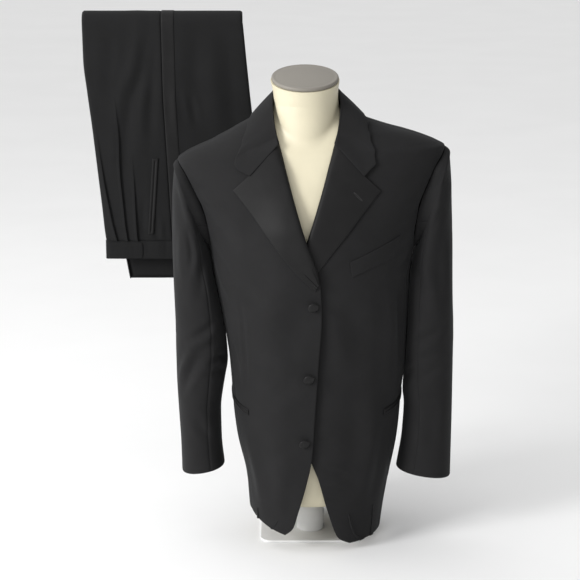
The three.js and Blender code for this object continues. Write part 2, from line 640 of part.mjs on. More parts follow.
// Dress form
const FOOT = { thickness: 4, halfWidth: 94, front: -60, back: 285, corner: 20 };
const STEM = { radius: 26, sides: 24, x: 0, y: 8 };
const FORM_BASE = 79;
const FORM = [
  { z: FORM_BASE, right: 97, left: 99, front: 88, back: 90 },
  { z: 92, right: 103, left: 106, front: 96, back: 96 },
  { z: 126, right: 106, left: 110, front: 101, back: 99 },
  { z: 206, right: 118, left: 126, front: 106, back: 102 },
  { z: 282, right: 126, left: 138, front: 109, back: 101 },
  { z: 357, right: 133, left: 143, front: 108, back: 97 },
  { z: 444, right: 147, left: 153, front: 112, back: 96 },
  { z: 509, right: 161, left: 163, front: 117, back: 99 },
  { z: 553, right: 168, left: 168, front: 119, back: 102 },
  { z: 594, right: 172, left: 172, front: 116, back: 104 },
  { z: 637, right: 176, left: 176, front: 106, back: 102 },
  { z: 680, right: 179, left: 173, front: 93, back: 98 },
  { z: 712, right: 178, left: 166, front: 82, back: 92 },
  { z: 736, right: 171, left: 153, front: 76, back: 86 },
  { z: 747, right: 161, left: 145, front: 73, back: 83 },
  { z: 756, right: 150, left: 136, front: 71, back: 79 },
  { z: 764, right: 139, left: 128, front: 69, back: 76 },
  { z: 772, right: 128, left: 118, front: 67, back: 73 },
  { z: 779, right: 116, left: 107, front: 65, back: 70 },
  { z: 786, right: 105, left: 93, front: 64, back: 66 },
  { z: 793, right: 94, left: 77, front: 62, back: 63 },
  { z: 800, right: 84, left: 65, front: 61, back: 60 },
  { z: 807, right: 77, left: 57, front: 60, back: 57 },
  { z: 815, right: 70, left: 51, front: 60, back: 55 },
  { z: 828, right: 67, left: 47, front: 60, back: 54 },
];
const FORM_POWER = 2.15;
const RING_POINTS = 32;
const NECK = { x: -10, y: -3, radius: 57 };
const FORM_CLEARANCE = 3; // from the form to the jacket's inner side
const FORM_BLEND = 8; // softens the join of neck and shoulders
const NECK_TILT = 13; // degrees, the neck's top faces a little forward
const NECK_TOP = { x: -12, y: -4, z: 868, radius: 62 };
const NECK_FLARE = { down: 14, less: 3 };
const softMin = (a, b, soft) => {
  const share = THREE.MathUtils.clamp(0.5 + (b - a) / (2 * soft), 0, 1);
  return lerp(b, a, share) - soft * share * (1 - share);
};
const softMax = (a, b, soft) => -softMin(-a, -b, soft);
// How far from the neck's axis the inner side of the jacket is in a direction.
function reachInJacket(z, alongX, alongY) {
  let [near, far] = [0, 300];
  while (far - near > 0.01) {
    const middle = (near + far) / 2;
    const [x, y] = [NECK.x + middle * alongX, NECK.y + middle * alongY];
    const { width, front, back, power } = section(x < 0 ? RIGHT : LEFT, z, -JACKET_WALL - FORM_CLEARANCE);
    const inside = Math.abs(x / width) ** power + Math.abs(y / (y < 0 ? front : back)) ** power < 1;
    if (inside) near = middle;
    else far = middle;
  }
  return near;
}
function formRing({ z, right, left, front, back }) {
  return Array.from({ length: RING_POINTS }, (_, i) => {
    const angle = (i / RING_POINTS) * 2 * Math.PI;
    const [sine, cosine] = [Math.sin(angle), Math.cos(angle)];
    const x = (sine < 0 ? right : left) * Math.sign(sine) * Math.abs(sine) ** (2 / FORM_POWER) - NECK.x;
    const y = (cosine > 0 ? -front : back) * Math.abs(cosine) ** (2 / FORM_POWER) - NECK.y;
    const own = Math.hypot(x, y);
    const shoulder = softMin(own, reachInJacket(z, x / own, y / own), FORM_BLEND);
    const share = softMax(shoulder, NECK.radius, FORM_BLEND) / own;
    return new THREE.Vector3(NECK.x + x * share, NECK.y + y * share, z);
  });
}
function tiltedRing(radius, z) {
  return Array.from({ length: RING_POINTS }, (_, i) => {
    const angle = (i / RING_POINTS) * 2 * Math.PI;
    const y = -radius * Math.cos(angle);
    const [along, up] = [Math.cos(radians(NECK_TILT)), Math.sin(radians(NECK_TILT))];
    return new THREE.Vector3(NECK_TOP.x + radius * Math.sin(angle), NECK_TOP.y + y * along, z + y * up);
  });
}
function formTorso() {
  const rings = spread(FORM, ["z", "right", "left", "front", "back"], 1).map(formRing);
  rings.push(tiltedRing(NECK_TOP.radius - NECK_FLARE.less, NECK_TOP.z - NECK_FLARE.down));
  rings.push(tiltedRing(NECK_TOP.radius, NECK_TOP.z));
  return loft(rings);
}
add("form_torso", formTorso(), fibreglass);
const CAP = { radius: 60.5, thickness: 7, bevel: 1.5 };
function neckCap() {
  const { radius, thickness, bevel } = CAP;
  const base = NECK_TOP.z + SEAM_GAP;
  return loft([
    tiltedRing(radius - bevel, base), tiltedRing(radius, base + bevel),
    tiltedRing(radius, base + thickness - bevel), tiltedRing(radius - bevel, base + thickness)]);
}
add("form_neck_cap", neckCap(), capPaint);

// The steel foot and stem under the form, with the post and rail that carry the trousers
const RAIL = { radius: 8, y: 240, z: 943, fromX: -426, toX: -134 };
const POST = { radius: 6, sides: 10, steps: 18 };
const POST_PATH = [
  [-84, 262, FOOT.thickness + SEAM_GAP], [-90, 262, 170], [-104, 251, 300], [-114, RAIL.y, 430],
  [-126, RAIL.y, 560], [-141, RAIL.y, 690], [-146, RAIL.y, 800],
  [-146, RAIL.y, RAIL.z - RAIL.radius - SEAM_GAP],
];
function footPlate() {
  const { thickness, halfWidth, front, back, corner } = FOOT;
  const shape = new THREE.Shape();
  shape.moveTo(-halfWidth + corner, front);
  shape.lineTo(halfWidth - corner, front);
  shape.absarc(halfWidth - corner, front + corner, corner, -Math.PI / 2, 0);
  shape.lineTo(halfWidth, back - corner);
  shape.absarc(halfWidth - corner, back - corner, corner, 0, Math.PI / 2);
  shape.lineTo(-halfWidth + corner, back);
  shape.absarc(-halfWidth + corner, back - corner, corner, Math.PI / 2, Math.PI);
  shape.lineTo(-halfWidth, front + corner);
  shape.absarc(-halfWidth + corner, front + corner, corner, Math.PI, 1.5 * Math.PI);
  return new THREE.ExtrudeGeometry(shape, { depth: thickness, bevelEnabled: false, curveSegments: 6 });
}
add("foot_plate", footPlate(), steel);
function rod(radius, path, steps, sides = 14) {
  const shape = new THREE.Shape();
  shape.absarc(0, 0, radius, 0, 2 * Math.PI);
  return new THREE.ExtrudeGeometry(shape, { extrudePath: path, steps, curveSegments: sides / 2 });
}
const stemPath = new THREE.LineCurve3(
  new THREE.Vector3(STEM.x, STEM.y, FOOT.thickness + SEAM_GAP),
  new THREE.Vector3(STEM.x, STEM.y, FORM_BASE - SEAM_GAP));
add("form_stem", rod(STEM.radius, stemPath, 1, STEM.sides), steel);
const postPath = new THREE.CatmullRomCurve3(POST_PATH.map((place) => new THREE.Vector3(...place)));
add("post", rod(POST.radius, postPath, POST.steps, POST.sides), steel);
const railPath = new THREE.LineCurve3(
  new THREE.Vector3(RAIL.fromX, RAIL.y, RAIL.z), new THREE.Vector3(RAIL.toX, RAIL.y, RAIL.z));
add("rail", rod(RAIL.radius, railPath, 1, 20), steel);

// Trousers, folded over the rail: rows from the waist up the near side, over and down the far one.
// `turn` is 0 on the near run, up to 180 on the far run; widths by the x of the two edges and seam.
const TROUSERS = [
  { z: 519, turn: 0, front: -398, seam: -268, back: -166, full: 8 },
  { z: 545, turn: 0, front: -401, seam: -270, back: -156, full: 8 },
  { z: 580, turn: 0, front: -404, seam: -272, back: -144, full: 7 },
  { z: 620, turn: 0, front: -408, seam: -274, back: -131, full: 6 },
  { z: 680, turn: 0, front: -414, seam: -277, back: -117, full: 5 },
  { z: 740, turn: 0, front: -420, seam: -280, back: -110, full: 4 },
  { z: 810, turn: 0, front: -428, seam: -283, back: -116, full: 3 },
  { z: 871, turn: 0, front: -434, seam: -284, back: -122, full: 2 },
  { z: 943, turn: 0, front: -435, seam: -285, back: -129, full: 1 },
  { z: 943, turn: 30, front: -435, seam: -285, back: -130, full: 1 },
  { z: 943, turn: 60, front: -435, seam: -285, back: -130, full: 1 },
  { z: 943, turn: 90, front: -435, seam: -285, back: -130, full: 1 },
  { z: 943, turn: 120, front: -435, seam: -285, back: -130, full: 1 },
  { z: 943, turn: 150, front: -434, seam: -284, back: -130, full: 1 },
  { z: 943, turn: 180, front: -433, seam: -283, back: -130, full: 1 },
  { z: 810, turn: 180, front: -420, seam: -275, back: -130, full: 1 },
  { z: 640, turn: 180, front: -392, seam: -260, back: -128, full: 1 },
  { z: 520, turn: 180, front: -372, seam: -250, back: -127, full: 1 },
  { z: 432, turn: 180, front: -357, seam: -242, back: -127, full: 1 },
];
const TROUSER_KEYS = ["z", "turn", "front", "seam", "back", "full"];
const HIDDEN_LAYERS = 8; // thickness of the layers between the rail and the outer one
const RAIL_GAP = 0.8;
const LAYER_GAP = 1.2;

// A point `out` millimetres outside the rail's own surface, in the row's plane.
function onFold(row, x, out) {
  const reach = RAIL.radius + out;
  const angle = radians(row.turn);
  const lift = row.turn > 0 && row.turn < 180 ? reach * Math.sin(angle) : 0;
  return new THREE.Vector3(x, RAIL.y - reach * Math.cos(angle), row.z + lift);
}
const outerFace = (row) => RAIL_GAP + HIDDEN_LAYERS + row.full + LAYER_GAP + TROUSER_WALL;

// Pleats: the share of the way from the front edge to the seam at each height, and their ends.
const PLEATS = [
  { z: 519, first: 0.17, second: 0.33, third: 0.48 },
  { z: 571, first: 0.12, second: 0.32, third: 0.49 },
  { z: 640, first: 0.08, second: 0.32, third: 0.51 },
  { z: 740, first: 0.06, second: 0.36, third: 0.52 },
  { z: 943, first: 0.06, second: 0.34, third: 0.52 },
];
const PLEAT_ENDS = { first: 745, second: 815, third: 700 };
const PLEAT_HEIGHT = 4.5;
const PLEAT_STEP = 0.014; // share of the width over which a pleat's fold drops away
const PLEAT_ROUND = 0.035; // share of the width over which it rises
const PLEAT_RUN = 160; // height over which a pleat dies out

// How far inside the outer face each column lies, so that both edges turn in over the layers.
const EDGE_TURN = [
  { share: 0.012, inset: 6 },
  { share: 0, inset: 3 },
  { share: 0.015, inset: 0.7 },
];
function trouserFront(rows) {
  const place = (row) => {
    const height = row.turn === 0 ? row.z : RAIL.z;
    const pleat = (key) => column(PLEATS, key)(height);
    const rise = (key) => (row.turn === 0
      ? PLEAT_HEIGHT * (1 - ramp(row.z, PLEAT_ENDS[key] - PLEAT_RUN, PLEAT_ENDS[key])) : 0);
    const columns = EDGE_TURN.map(({ share, inset }) => ({ share, inset }));
    for (const key of ["first", "second", "third"]) {
      columns.push({ share: pleat(key) - PLEAT_ROUND, inset: -rise(key) * 0.55 });
      columns.push({ share: pleat(key), inset: -rise(key) });
      columns.push({ share: pleat(key) + PLEAT_STEP, inset: 0 });
    }
    columns.push({ share: 0.7, inset: -0.5 }, { share: 0.85, inset: 0 }, { share: 1, inset: 0 });
    return columns;
  };
  const grid = (depth) => rows.map((row) => place(row).map(({ share, inset }) => {
    const x = lerp(row.front, row.seam - SEAM_GAP / 2, share);
    const turnIn = depth && inset > 2 ? TROUSER_WALL : 0;
    return onFold(row, x + turnIn, outerFace(row) - inset - (turnIn ? 0 : depth));
  }));
  return wall(grid(0), grid(TROUSER_WALL));
}
function trouserBack(rows) {
  const shares = [0, 0.2, 0.4, 0.6, 0.8];
  const columns = [
    ...shares.map((share) => ({ share, inset: 0 })),
    ...EDGE_TURN.map(({ share, inset }) => ({ share: 1 - share, inset })).reverse(),
  ];
  const grid = (depth) => rows.map((row) => columns.map(({ share, inset }) => {
    const x = lerp(row.seam + SEAM_GAP / 2, row.back, share);
    const turnIn = depth && inset > 2 ? TROUSER_WALL : 0;
    return onFold(row, x - turnIn, outerFace(row) - inset - (turnIn ? 0 : depth));
  }));
  return wall(grid(0), grid(TROUSER_WALL));
}
const trouserRows = spread(TROUSERS, TROUSER_KEYS, 1);
add("trouser_front_right", trouserFront(trouserRows), wool);
add("trouser_back_right", trouserBack(trouserRows), wool);

// The other leg and the inner sides, pressed together: one solid, stepped at its edges.
const LAYER_STEPS = [
  { inset: 9, share: 0.45 },
  { inset: 6.5, share: 0.5 },
  { inset: 6.5, share: 0.9 },
];
const WAIST_Z = 483;
const HIDDEN_HEM = 437;
const HIDDEN_WAIST = { z: WAIST_Z + 1, front: -395, back: -178, full: 8 };
const LAYER_EDGES = { inner: 9, outer: 12 }; // how far in from the outer leg's two edges
function hiddenLayers(rows) {
  const [first, last] = [rows[0], rows.at(-1)];
  const all = [{ ...first, ...HIDDEN_WAIST }, ...rows.slice(0, -1), { ...last, z: HIDDEN_HEM }];
  const outline = (row, clear) => {
    const depth = HIDDEN_LAYERS + row.full;
    const left = LAYER_STEPS.map(({ inset, share }) => ({ x: row.front + inset, out: depth * share }));
    const right = LAYER_STEPS.map(({ inset, share }) => ({ x: row.back - inset, out: depth * share }));
    const points = [
      { x: row.front + LAYER_EDGES.inner, out: 0 }, ...left, { x: row.front + LAYER_EDGES.outer, out: depth },
      { x: row.back - LAYER_EDGES.outer, out: depth }, ...right.reverse(),
      { x: row.back - LAYER_EDGES.inner, out: 0 }];
    return points.map(({ x, out }) => onFold(row, x, out + clear));
  };
  return loft(all.map((row) => outline(row, RAIL_GAP)));
}
add("trouser_inner_layers", hiddenLayers(trouserRows), wool);

// Satin stripe laid on the outer seam, all the way from the waist to the hem.
const STRIPE = { width: 24, face: 1.3, back: 0.3 };
function stripe(rows) {
  const shares = [0, 0.5, 1];
  const grid = (lift) => rows.map((row) => shares.map((share) =>
    onFold(row, row.seam + STRIPE.width * share + 1, outerFace(row) + lift)));
  return wall(grid(STRIPE.face), grid(STRIPE.back));
}
add("trouser_stripe_right", stripe(trouserRows), satin);

// Waistband, with the closing extension that laps over it from the front edge.
const WAISTBAND = { top: 518.4, bottom: WAIST_Z, frontX: -399, backX: -166, columns: 10 };
const EXTENSION = { fromX: -398, toX: -326, face: 1.5, back: 0.3 };
function waistband() {
  const heights = [WAISTBAND.bottom, (WAISTBAND.top + WAISTBAND.bottom) / 2, WAISTBAND.top];
  const row = trouserRows[0];
  const face = outerFace(row) + 1;
  const turned = [{ share: 0.008, inset: 6 }, { share: 0, inset: 3 }, { share: 0.015, inset: 0.5 }];
  const inside = Array.from({ length: WAISTBAND.columns }, (_, c) => ({
    share: 0.05 + (0.9 * c) / (WAISTBAND.columns - 1), inset: 0,
  }));
  const columns = [...turned, ...inside,
    ...turned.map(({ share, inset }) => ({ share: 1 - share, inset })).reverse()];
  const grid = (depth) => heights.map((z) => columns.map(({ share, inset }) => {
    const x = lerp(WAISTBAND.frontX, WAISTBAND.backX, share);
    const turnIn = depth && inset > 2 ? TROUSER_WALL * (share < 0.5 ? 1 : -1) : 0;
    return onFold({ ...row, z }, x + turnIn, face - inset - (turnIn ? 0 : depth));
  }));
  return wall(grid(0), grid(TROUSER_WALL));
}
add("trouser_waistband", waistband(), wool);
function extension() {
  const heights = [WAISTBAND.bottom + 1, (WAISTBAND.top + WAISTBAND.bottom) / 2, WAISTBAND.top - 2];
  const row = trouserRows[0];
  const face = outerFace(row) + 1;
  const shares = [0.06, 0.35, 0.65, 0.92, 1];
  const grid = (lift) => heights.map((z) => shares.map((share) =>
    onFold({ ...row, z }, lerp(EXTENSION.fromX, EXTENSION.toX, share), face + lift)));
  return wall(grid(EXTENSION.face), grid(EXTENSION.back));
}
add("trouser_extension", extension(), wool);

// Jetted side pocket in front of the stripe: two narrow lips along a slanting slit.
const SIDE_POCKET = { topX: -299, topZ: 682, bottomX: -310, bottomZ: 532, lip: 5, slit: 1.4,
  back: 1.3, face: 2.5, sunk: 0.8 };
function sidePocket() {
  const steps = 8;
  const offsets = [-1, -0.55, 0, 0.55, 1].map((side) => side * (SIDE_POCKET.lip + SIDE_POCKET.slit / 2));
  const full = column(TROUSERS.slice(0, 9), "full");
  const grid = (lift) => Array.from({ length: steps + 1 }, (_, s) => offsets.map((offset) => {
    const x = lerp(SIDE_POCKET.bottomX, SIDE_POCKET.topX, s / steps) + offset;
    const z = lerp(SIDE_POCKET.bottomZ, SIDE_POCKET.topZ, s / steps);
    const sunk = offset === 0 && lift === SIDE_POCKET.face ? SIDE_POCKET.sunk : 0;
    return onFold({ z, turn: 0 }, x, outerFace({ full: full(z) }) + lift - sunk);
  }));
  return wall(grid(SIDE_POCKET.face), grid(SIDE_POCKET.back));
}
add("trouser_pocket_right", sidePocket(), satin);

export default tuxedo;
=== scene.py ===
"""Two-piece tuxedo: the jacket on a dress form and the trousers folded over a rail behind it."""
import math

import bmesh
import bpy
import numpy as np
from bpy.props import FloatProperty, FloatVectorProperty, PointerProperty
from mathutils import Matrix, Vector


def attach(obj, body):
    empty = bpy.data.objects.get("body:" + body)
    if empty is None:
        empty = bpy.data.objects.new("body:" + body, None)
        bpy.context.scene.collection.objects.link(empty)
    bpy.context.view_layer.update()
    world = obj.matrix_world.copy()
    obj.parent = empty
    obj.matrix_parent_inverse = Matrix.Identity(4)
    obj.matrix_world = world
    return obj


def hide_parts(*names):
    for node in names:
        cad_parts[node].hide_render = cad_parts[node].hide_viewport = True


bl_info = {
    "name": "Tuxedo on a dress form",
    "version": (1, 0, 0),
    "blender": (4, 5, 0),
    "location": "3D View > Sidebar > Tuxedo",
    "description": "Builds a tuxedo jacket on a dress form and its folded trousers",
    "category": "Object",
}

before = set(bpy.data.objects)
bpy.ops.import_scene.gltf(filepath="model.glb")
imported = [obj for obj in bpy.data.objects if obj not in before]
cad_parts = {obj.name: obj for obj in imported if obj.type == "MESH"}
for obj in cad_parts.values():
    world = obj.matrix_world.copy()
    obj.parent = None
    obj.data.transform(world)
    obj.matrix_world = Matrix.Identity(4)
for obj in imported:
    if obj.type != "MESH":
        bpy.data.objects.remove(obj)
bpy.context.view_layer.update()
BODY_NAME = "root"
MM = 0.001
RIGHT, LEFT = -1, 1
SIDE_NAMES = {RIGHT: "right", LEFT: "left"}

# Sizes shared with the solids, in millimetres and degrees
JACKET_WALL = 2.0
TROUSER_WALL = 1.6
SEAM_ANGLE = 0.02
SEAM_GAP = 0.3
LAPEL_MIRROR = -18.0
NECK_X = -9.0

# z, right, left, front, back, power
BODY = np.array([
    (0, 111, 130, 110, 112, 2.3), (66, 116, 138, 113, 114, 2.3), (126, 121, 148, 116, 115, 2.3),
    (206, 137, 161, 119, 115, 2.3), (282, 146, 168, 121, 113, 2.3), (357, 152, 177, 122, 110, 2.3),
    (444, 166, 180, 125, 108, 2.3), (509, 178, 181, 129, 111, 2.3), (553, 184, 186, 131, 114, 2.3),
    (594, 191, 192, 128, 116, 2.3), (637, 206, 203, 118, 114, 2.3), (668, 220, 214, 109, 110, 2.3),
    (705, 238, 230, 95, 105, 2.3), (724, 243, 238, 87, 102, 2.3), (735, 230, 241, 82, 100, 2.3),
    (748, 204, 242, 76, 97, 2.25), (757, 184, 228, 70, 94, 2.2), (766, 168, 206, 64, 90, 2.2),
    (775, 151, 178, 58, 86, 2.2), (784, 136, 144, 52, 82, 2.15), (795, 116, 109, 44, 76, 2.15),
    (805, 99, 81, 36, 71, 2.1), (814, 84, 66, 30, 67, 2.1), (826, 74, 56, 25, 62, 2.1),
], float)


def curve(at, value):
    """A smooth monotone curve through the values."""
    at, value = np.array(at, float), np.array(value, float)
    slope = np.diff(value) / np.diff(at)
    tangent = np.empty(len(at))
    tangent[0], tangent[-1] = slope[0], slope[-1]
    for i in range(1, len(at) - 1):
        product = slope[i - 1] * slope[i]
        tangent[i] = 0 if product <= 0 else 2 / (1 / slope[i - 1] + 1 / slope[i])

    def at_x(x):
        x = np.asarray(x, float)
        i = np.clip(np.searchsorted(at, x, side="left") - 1, 0, len(at) - 2)
        width = at[i + 1] - at[i]
        t = np.clip((x - at[i]) / width, 0, 1)
        bend = tangent[i] * t * (1 - t) ** 2 - tangent[i + 1] * t * t * (1 - t)
        return value[i] + (value[i + 1] - value[i]) * t * t * (3 - 2 * t) + bend * width

    return at_x


def rows_of(table):
    """One smooth curve for each column of a table, by the row number."""
    table = np.array(table, float)
    return [curve(range(len(table)), column) for column in table.T]


def smooth(x, low, high):
    t = np.clip((np.asarray(x, float) - low) / (high - low), 0, 1)
    return t * t * (3 - 2 * t)


def mix(a, b, t):
    return a + (b - a) * t


HALF_RIGHT, HALF_LEFT, HALF_FRONT, HALF_BACK, POWER = (curve(BODY[:, 0], c) for c in BODY.T[1:])


def section(side, z, clearance):
    """Half widths, depths and power of the jacket's level section, grown by the clearance."""
    level = z - clearance
    width = np.where(side > 0, HALF_LEFT(level), HALF_RIGHT(level)) + clearance
    return width, HALF_FRONT(level) + clearance, HALF_BACK(level) + clearance, POWER(level)


def on_body(angle, z, clearance=0.0):
    """Points on the grown section; angle 0 is centre front, the wearer's left is positive."""
    angle, z = np.broadcast_arrays(np.asarray(angle, float), np.asarray(z, float))
    width, front, back, power = section(np.sign(angle), z, clearance)
    sine, cosine = np.abs(np.sin(np.radians(angle))), np.cos(np.radians(angle))
    x = np.sign(angle) * width * sine ** (2 / power)
    reach = np.abs(cosine) ** (2 / power)
    return np.stack([x, np.where(cosine > 0, -front * reach, back * reach), z], -1)


def angle_of(x, z):
    """The signed angle at which the front of the section has this x."""
    width, _, _, power = section(np.sign(x), z, 0.0)
    share = np.minimum(1, (np.abs(x) / width) ** (power / 2))
    return np.sign(x) * np.degrees(np.arcsin(share))


def lap_stand(x, z):
    """How far the wearer's right front stands off where it laps over the left one."""
    return 9 * smooth(x, -118, -42) * (1 - smooth(z, 610, 700)) * mix(0.6, 1, smooth(z, 60, 200))


def no_stand(x, z):
    return np.zeros(np.shape(x))


# Creases, each with its half width, its depth and its points. A positive depth is a
# trough, a negative one a ridge. Points are (angle, height) on the jacket's body, (turn, height)
# on a sleeve and (x, height) on the trousers, in degrees and millimetres.
FRONT_RIGHT_CREASES = [
    (5, 1.3, (-45, 483), (-48, 396), (-51, 318)),
    (17, 1.6, (-3, 505), (-7, 426), (-13, 352)),
    (20, -1.5, (-20, 505), (-27, 440), (-34, 390)),
    (15, 1.9, (-69, 575), (-58, 540), (-43, 505), (-30, 480)),
    (12, -1.4, (-70, 545), (-62, 512), (-54, 470)),
    (16, 2.0, (-72, 640), (-62, 622), (-50, 590), (-43, 560)),
    (10, -1.1, (-71, 668), (-61, 660), (-50, 648)),
    (13, 1.2, (-6, 345), (-16, 318), (-30, 300)),
    (15, 1.4, (-4, 222), (-15, 212), (-26, 190)),
    (16, 1.5, (-9, 170), (-14, 120), (-17, 70)),
    (22, 1.8, (-36, 250), (-34, 180), (-31, 90)),
    (16, -1.6, (-55, 230), (-52, 150), (-48, 85)),
    (9, 1.1, (-66, 400), (-62, 350), (-60, 305)),
]
FRONT_LEFT_CREASES = [
    (12, 2.6, (57, 516), (60, 470), (63, 418), (66, 330)),
    (14, -1.6, (47, 525), (50, 450), (52, 360), (54, 300)),
    (12, 1.6, (66, 640), (58, 618), (48, 604), (40, 600)),
    (16, -1.5, (67, 690), (58, 672), (45, 655)),
    (4, 1.0, (1, 231), (6, 226), (12, 220)),
    (4.5, 1.2, (4, 166), (12, 161), (21, 153)),
    (6, -0.9, (6, 143), (16, 136), (25, 134)),
    (4, 0.9, (8, 110), (17, 104), (27, 99)),
    (18, 1.6, (22, 330), (26, 250), (27, 160)),
    (20, -1.9, (38, 300), (40, 200), (38, 90)),
    (15, 1.7, (52, 250), (52, 180), (48, 80)),
    (17, 1.5, (17, 500), (24, 440), (30, 370)),
    (12, -1.1, (9, 470), (14, 400), (16, 350)),
    (10, 1.4, (70, 560), (63, 545), (52, 538)),
]
SIDE_CREASES = [
    (9, 1.2, (82, 540), (86, 470), (84, 400)),
    (8, 1.1, (97, 548), (93, 500), (96, 430)),
    (10, -1.2, (79, 300), (84, 220), (83, 130)),
    (9, 1.1, (99, 320), (97, 230), (100, 120)),
]
BACK_CREASES = [
    (15, 2.0, (108, 640), (122, 622), (140, 600), (152, 560)),
    (12, -1.4, (109, 680), (124, 668), (138, 655)),
    (14, 1.7, (110, 590), (124, 560), (135, 510)),
    (9, 1.2, (140, 805), (152, 790), (172, 783)),
    (12, 1.3, (118, 470), (135, 455), (160, 452)),
    (10, -1.1, (116, 425), (138, 415), (168, 418)),
    (20, 1.9, (126, 380), (128, 260), (126, 120)),
    (22, -2.1, (146, 360), (148, 230), (145, 90)),
    (17, 1.6, (166, 330), (164, 210), (166, 80)),
    (18, 1.2, (150, 740), (152, 680), (150, 620)),
]
SLEEVE_RIGHT_CREASES = [
    (10, 1.7, (62, 700), (88, 676), (112, 650)),
    (12, 1.5, (20, 690), (50, 655), (72, 600)),
    (8, -1.0, (70, 640), (92, 628), (118, 604)),
    (5, 1.4, (78, 602), (84, 565), (79, 527)),
    (8, -1.1, (58, 604), (54, 550), (60, 505)),
    (9, 1.7, (128, 560), (104, 520), (92, 470)),
    (6, 1.9, (70, 404), (92, 412), (122, 433)),
    (6, -1.3, (66, 386), (92, 393), (124, 408)),
    (8, 2.2, (44, 293), (66, 330), (94, 378)),
    (7, -1.2, (34, 318), (54, 352), (76, 386)),
    (6, 1.8, (116, 352), (136, 362), (160, 356)),
    (6, 1.4, (112, 330), (140, 334), (166, 322)),
    (9, 1.2, (80, 250), (96, 226), (118, 206)),
    (9, 1.6, (-70, 420), (-96, 405), (-130, 412)),
    (8, -1.2, (-60, 380), (-92, 368), (-124, 378)),
    (8, 1.3, (-56, 344), (-88, 330), (-126, 338)),
    (11, 1.6, (-40, 660), (-66, 610), (-92, 560)),
    (10, 1.3, (-82, 540), (-108, 500), (-126, 450)),
    (14, 0.9, (4, 560), (-6, 480), (2, 400)),
]
SLEEVE_LEFT_CREASES = [
    (9, 1.6, (62, 700), (84, 682), (104, 664)),
    (11, 1.4, (30, 706), (52, 680), (66, 640)),
    (8, -1.1, (66, 650), (90, 636), (114, 610)),
    (11, 1.3, (60, 590), (70, 540), (62, 480)),
    (10, -1.2, (90, 560), (98, 510), (90, 460)),
    (9, 1.5, (130, 540), (108, 505), (96, 450)),
    (8, 1.6, (60, 420), (88, 408), (124, 392)),
    (7, -1.1, (66, 392), (92, 380), (120, 368)),
    (9, 1.5, (50, 350), (80, 340), (118, 318)),
    (11, 1.2, (76, 280), (84, 230), (80, 180)),
    (7, 1.3, (112, 340), (136, 330), (160, 312)),
    (9, 1.5, (-64, 430), (-92, 415), (-128, 420)),
    (8, -1.2, (-58, 392), (-88, 376), (-124, 388)),
    (8, 1.4, (-52, 350), (-86, 338), (-124, 346)),
    (12, 1.5, (-36, 670), (-62, 620), (-90, 570)),
    (10, 1.2, (-80, 530), (-104, 480), (-120, 430)),
    (14, 0.9, (0, 590), (8, 500), (0, 420)),
]
TROUSER_CREASES = [
    (11, 2.4, (-305, 935), (-322, 852), (-346, 785), (-358, 697), (-360, 640)),
    (8, 1.8, (-293, 915), (-304, 814), (-310, 697)),
    (10, -1.5, (-330, 925), (-338, 860), (-362, 800)),
    (12, 1.3, (-380, 930), (-384, 850), (-392, 780)),
    (6, 1.6, (-231, 808), (-226, 780), (-220, 746)),
    (14, 1.5, (-216, 930), (-220, 850), (-212, 760)),
    (16, -1.3, (-190, 905), (-186, 800), (-172, 690)),
    (12, 1.2, (-160, 930), (-152, 820), (-146, 700)),
    (6, -1.2, (-262, 820), (-258, 736)),
    (12, 1.5, (-240, 690), (-226, 620), (-214, 545)),
    (5, 1.0, (-322, 600), (-326, 560), (-324, 522)),
    (4, 0.9, (-298, 572), (-300, 545), (-299, 519)),
    (3.5, -0.8, (-288, 560), (-288, 540), (-287, 519)),
]
# The far run of the trousers, which hangs down behind the rail.
TROUSER_FAR_CREASES = [
    (14, 1.5, (-330, 920), (-326, 800), (-318, 660), (-306, 520)),
    (11, -1.3, (-382, 900), (-370, 760), (-352, 620)),
    (16, 1.6, (-206, 915), (-204, 780), (-196, 640), (-190, 510)),
    (12, -1.2, (-164, 900), (-160, 760), (-158, 600)),
    (12, 1.1, (-290, 700), (-284, 620), (-276, 540)),
]


CREASE_STEPS = 24
# the low bank beside each trough: its height and place as shares of the crease, and its spread
BANK_HEIGHT, BANK_PLACE, BANK_SPREAD = 0.32, 2.1, 0.7


def crease_field(across, along, creases):
    """How far the cloth sinks at each point, in millimetres, for a table of creases."""
    total = np.zeros(np.shape(across))
    for width, depth, *points in creases:
        line = np.array(points, float)
        fine = np.linspace(0, len(line) - 1, CREASE_STEPS)
        xs, zs = (curve(range(len(line)), column)(fine) for column in line.T)
        nearest = np.full(total.shape, 1e9)
        place = np.zeros(total.shape)
        for i in range(len(fine) - 1):
            a, d = np.array([xs[i], zs[i]]), np.array([xs[i + 1] - xs[i], zs[i + 1] - zs[i]])
            t = ((across - a[0]) * d[0] + (along - a[1]) * d[1]) / max(d @ d, 1e-9)
            t = np.clip(t, 0, 1)
            gap = np.hypot(across - a[0] - t * d[0], along - a[1] - t * d[1])
            closer = gap < nearest
            nearest = np.where(closer, gap, nearest)
            place = np.where(closer, (i + t) / (len(fine) - 1), place)
        taper = np.sin(math.pi * np.clip(place, 0.04, 0.96)) ** 0.7
        reach = nearest / width
        shape = np.exp(-(reach ** 2)) - BANK_HEIGHT * np.exp(-((reach - BANK_PLACE) ** 2) / BANK_SPREAD)
        total += depth * taper * shape
    return total


def scaled_across(creases, scale):
    """The creases with their first coordinate turned into millimetres."""
    return [(width, depth, *((a * scale, h) for a, h in points)) for width, depth, *points in creases]


def clustered(start, end, near_start, near_end, step):
    """Places from start to end: some close to each end, the rest a step apart."""
    length = end - start
    low = [start + d for d in near_start if d < length / 3]
    high = [end - d for d in near_end if d < length / 3]
    count = max(2, int(round((high[-1] - low[-1]) / step)))
    return np.array(low + list(np.linspace(low[-1], high[-1], count + 1))[1:-1] + high[::-1])


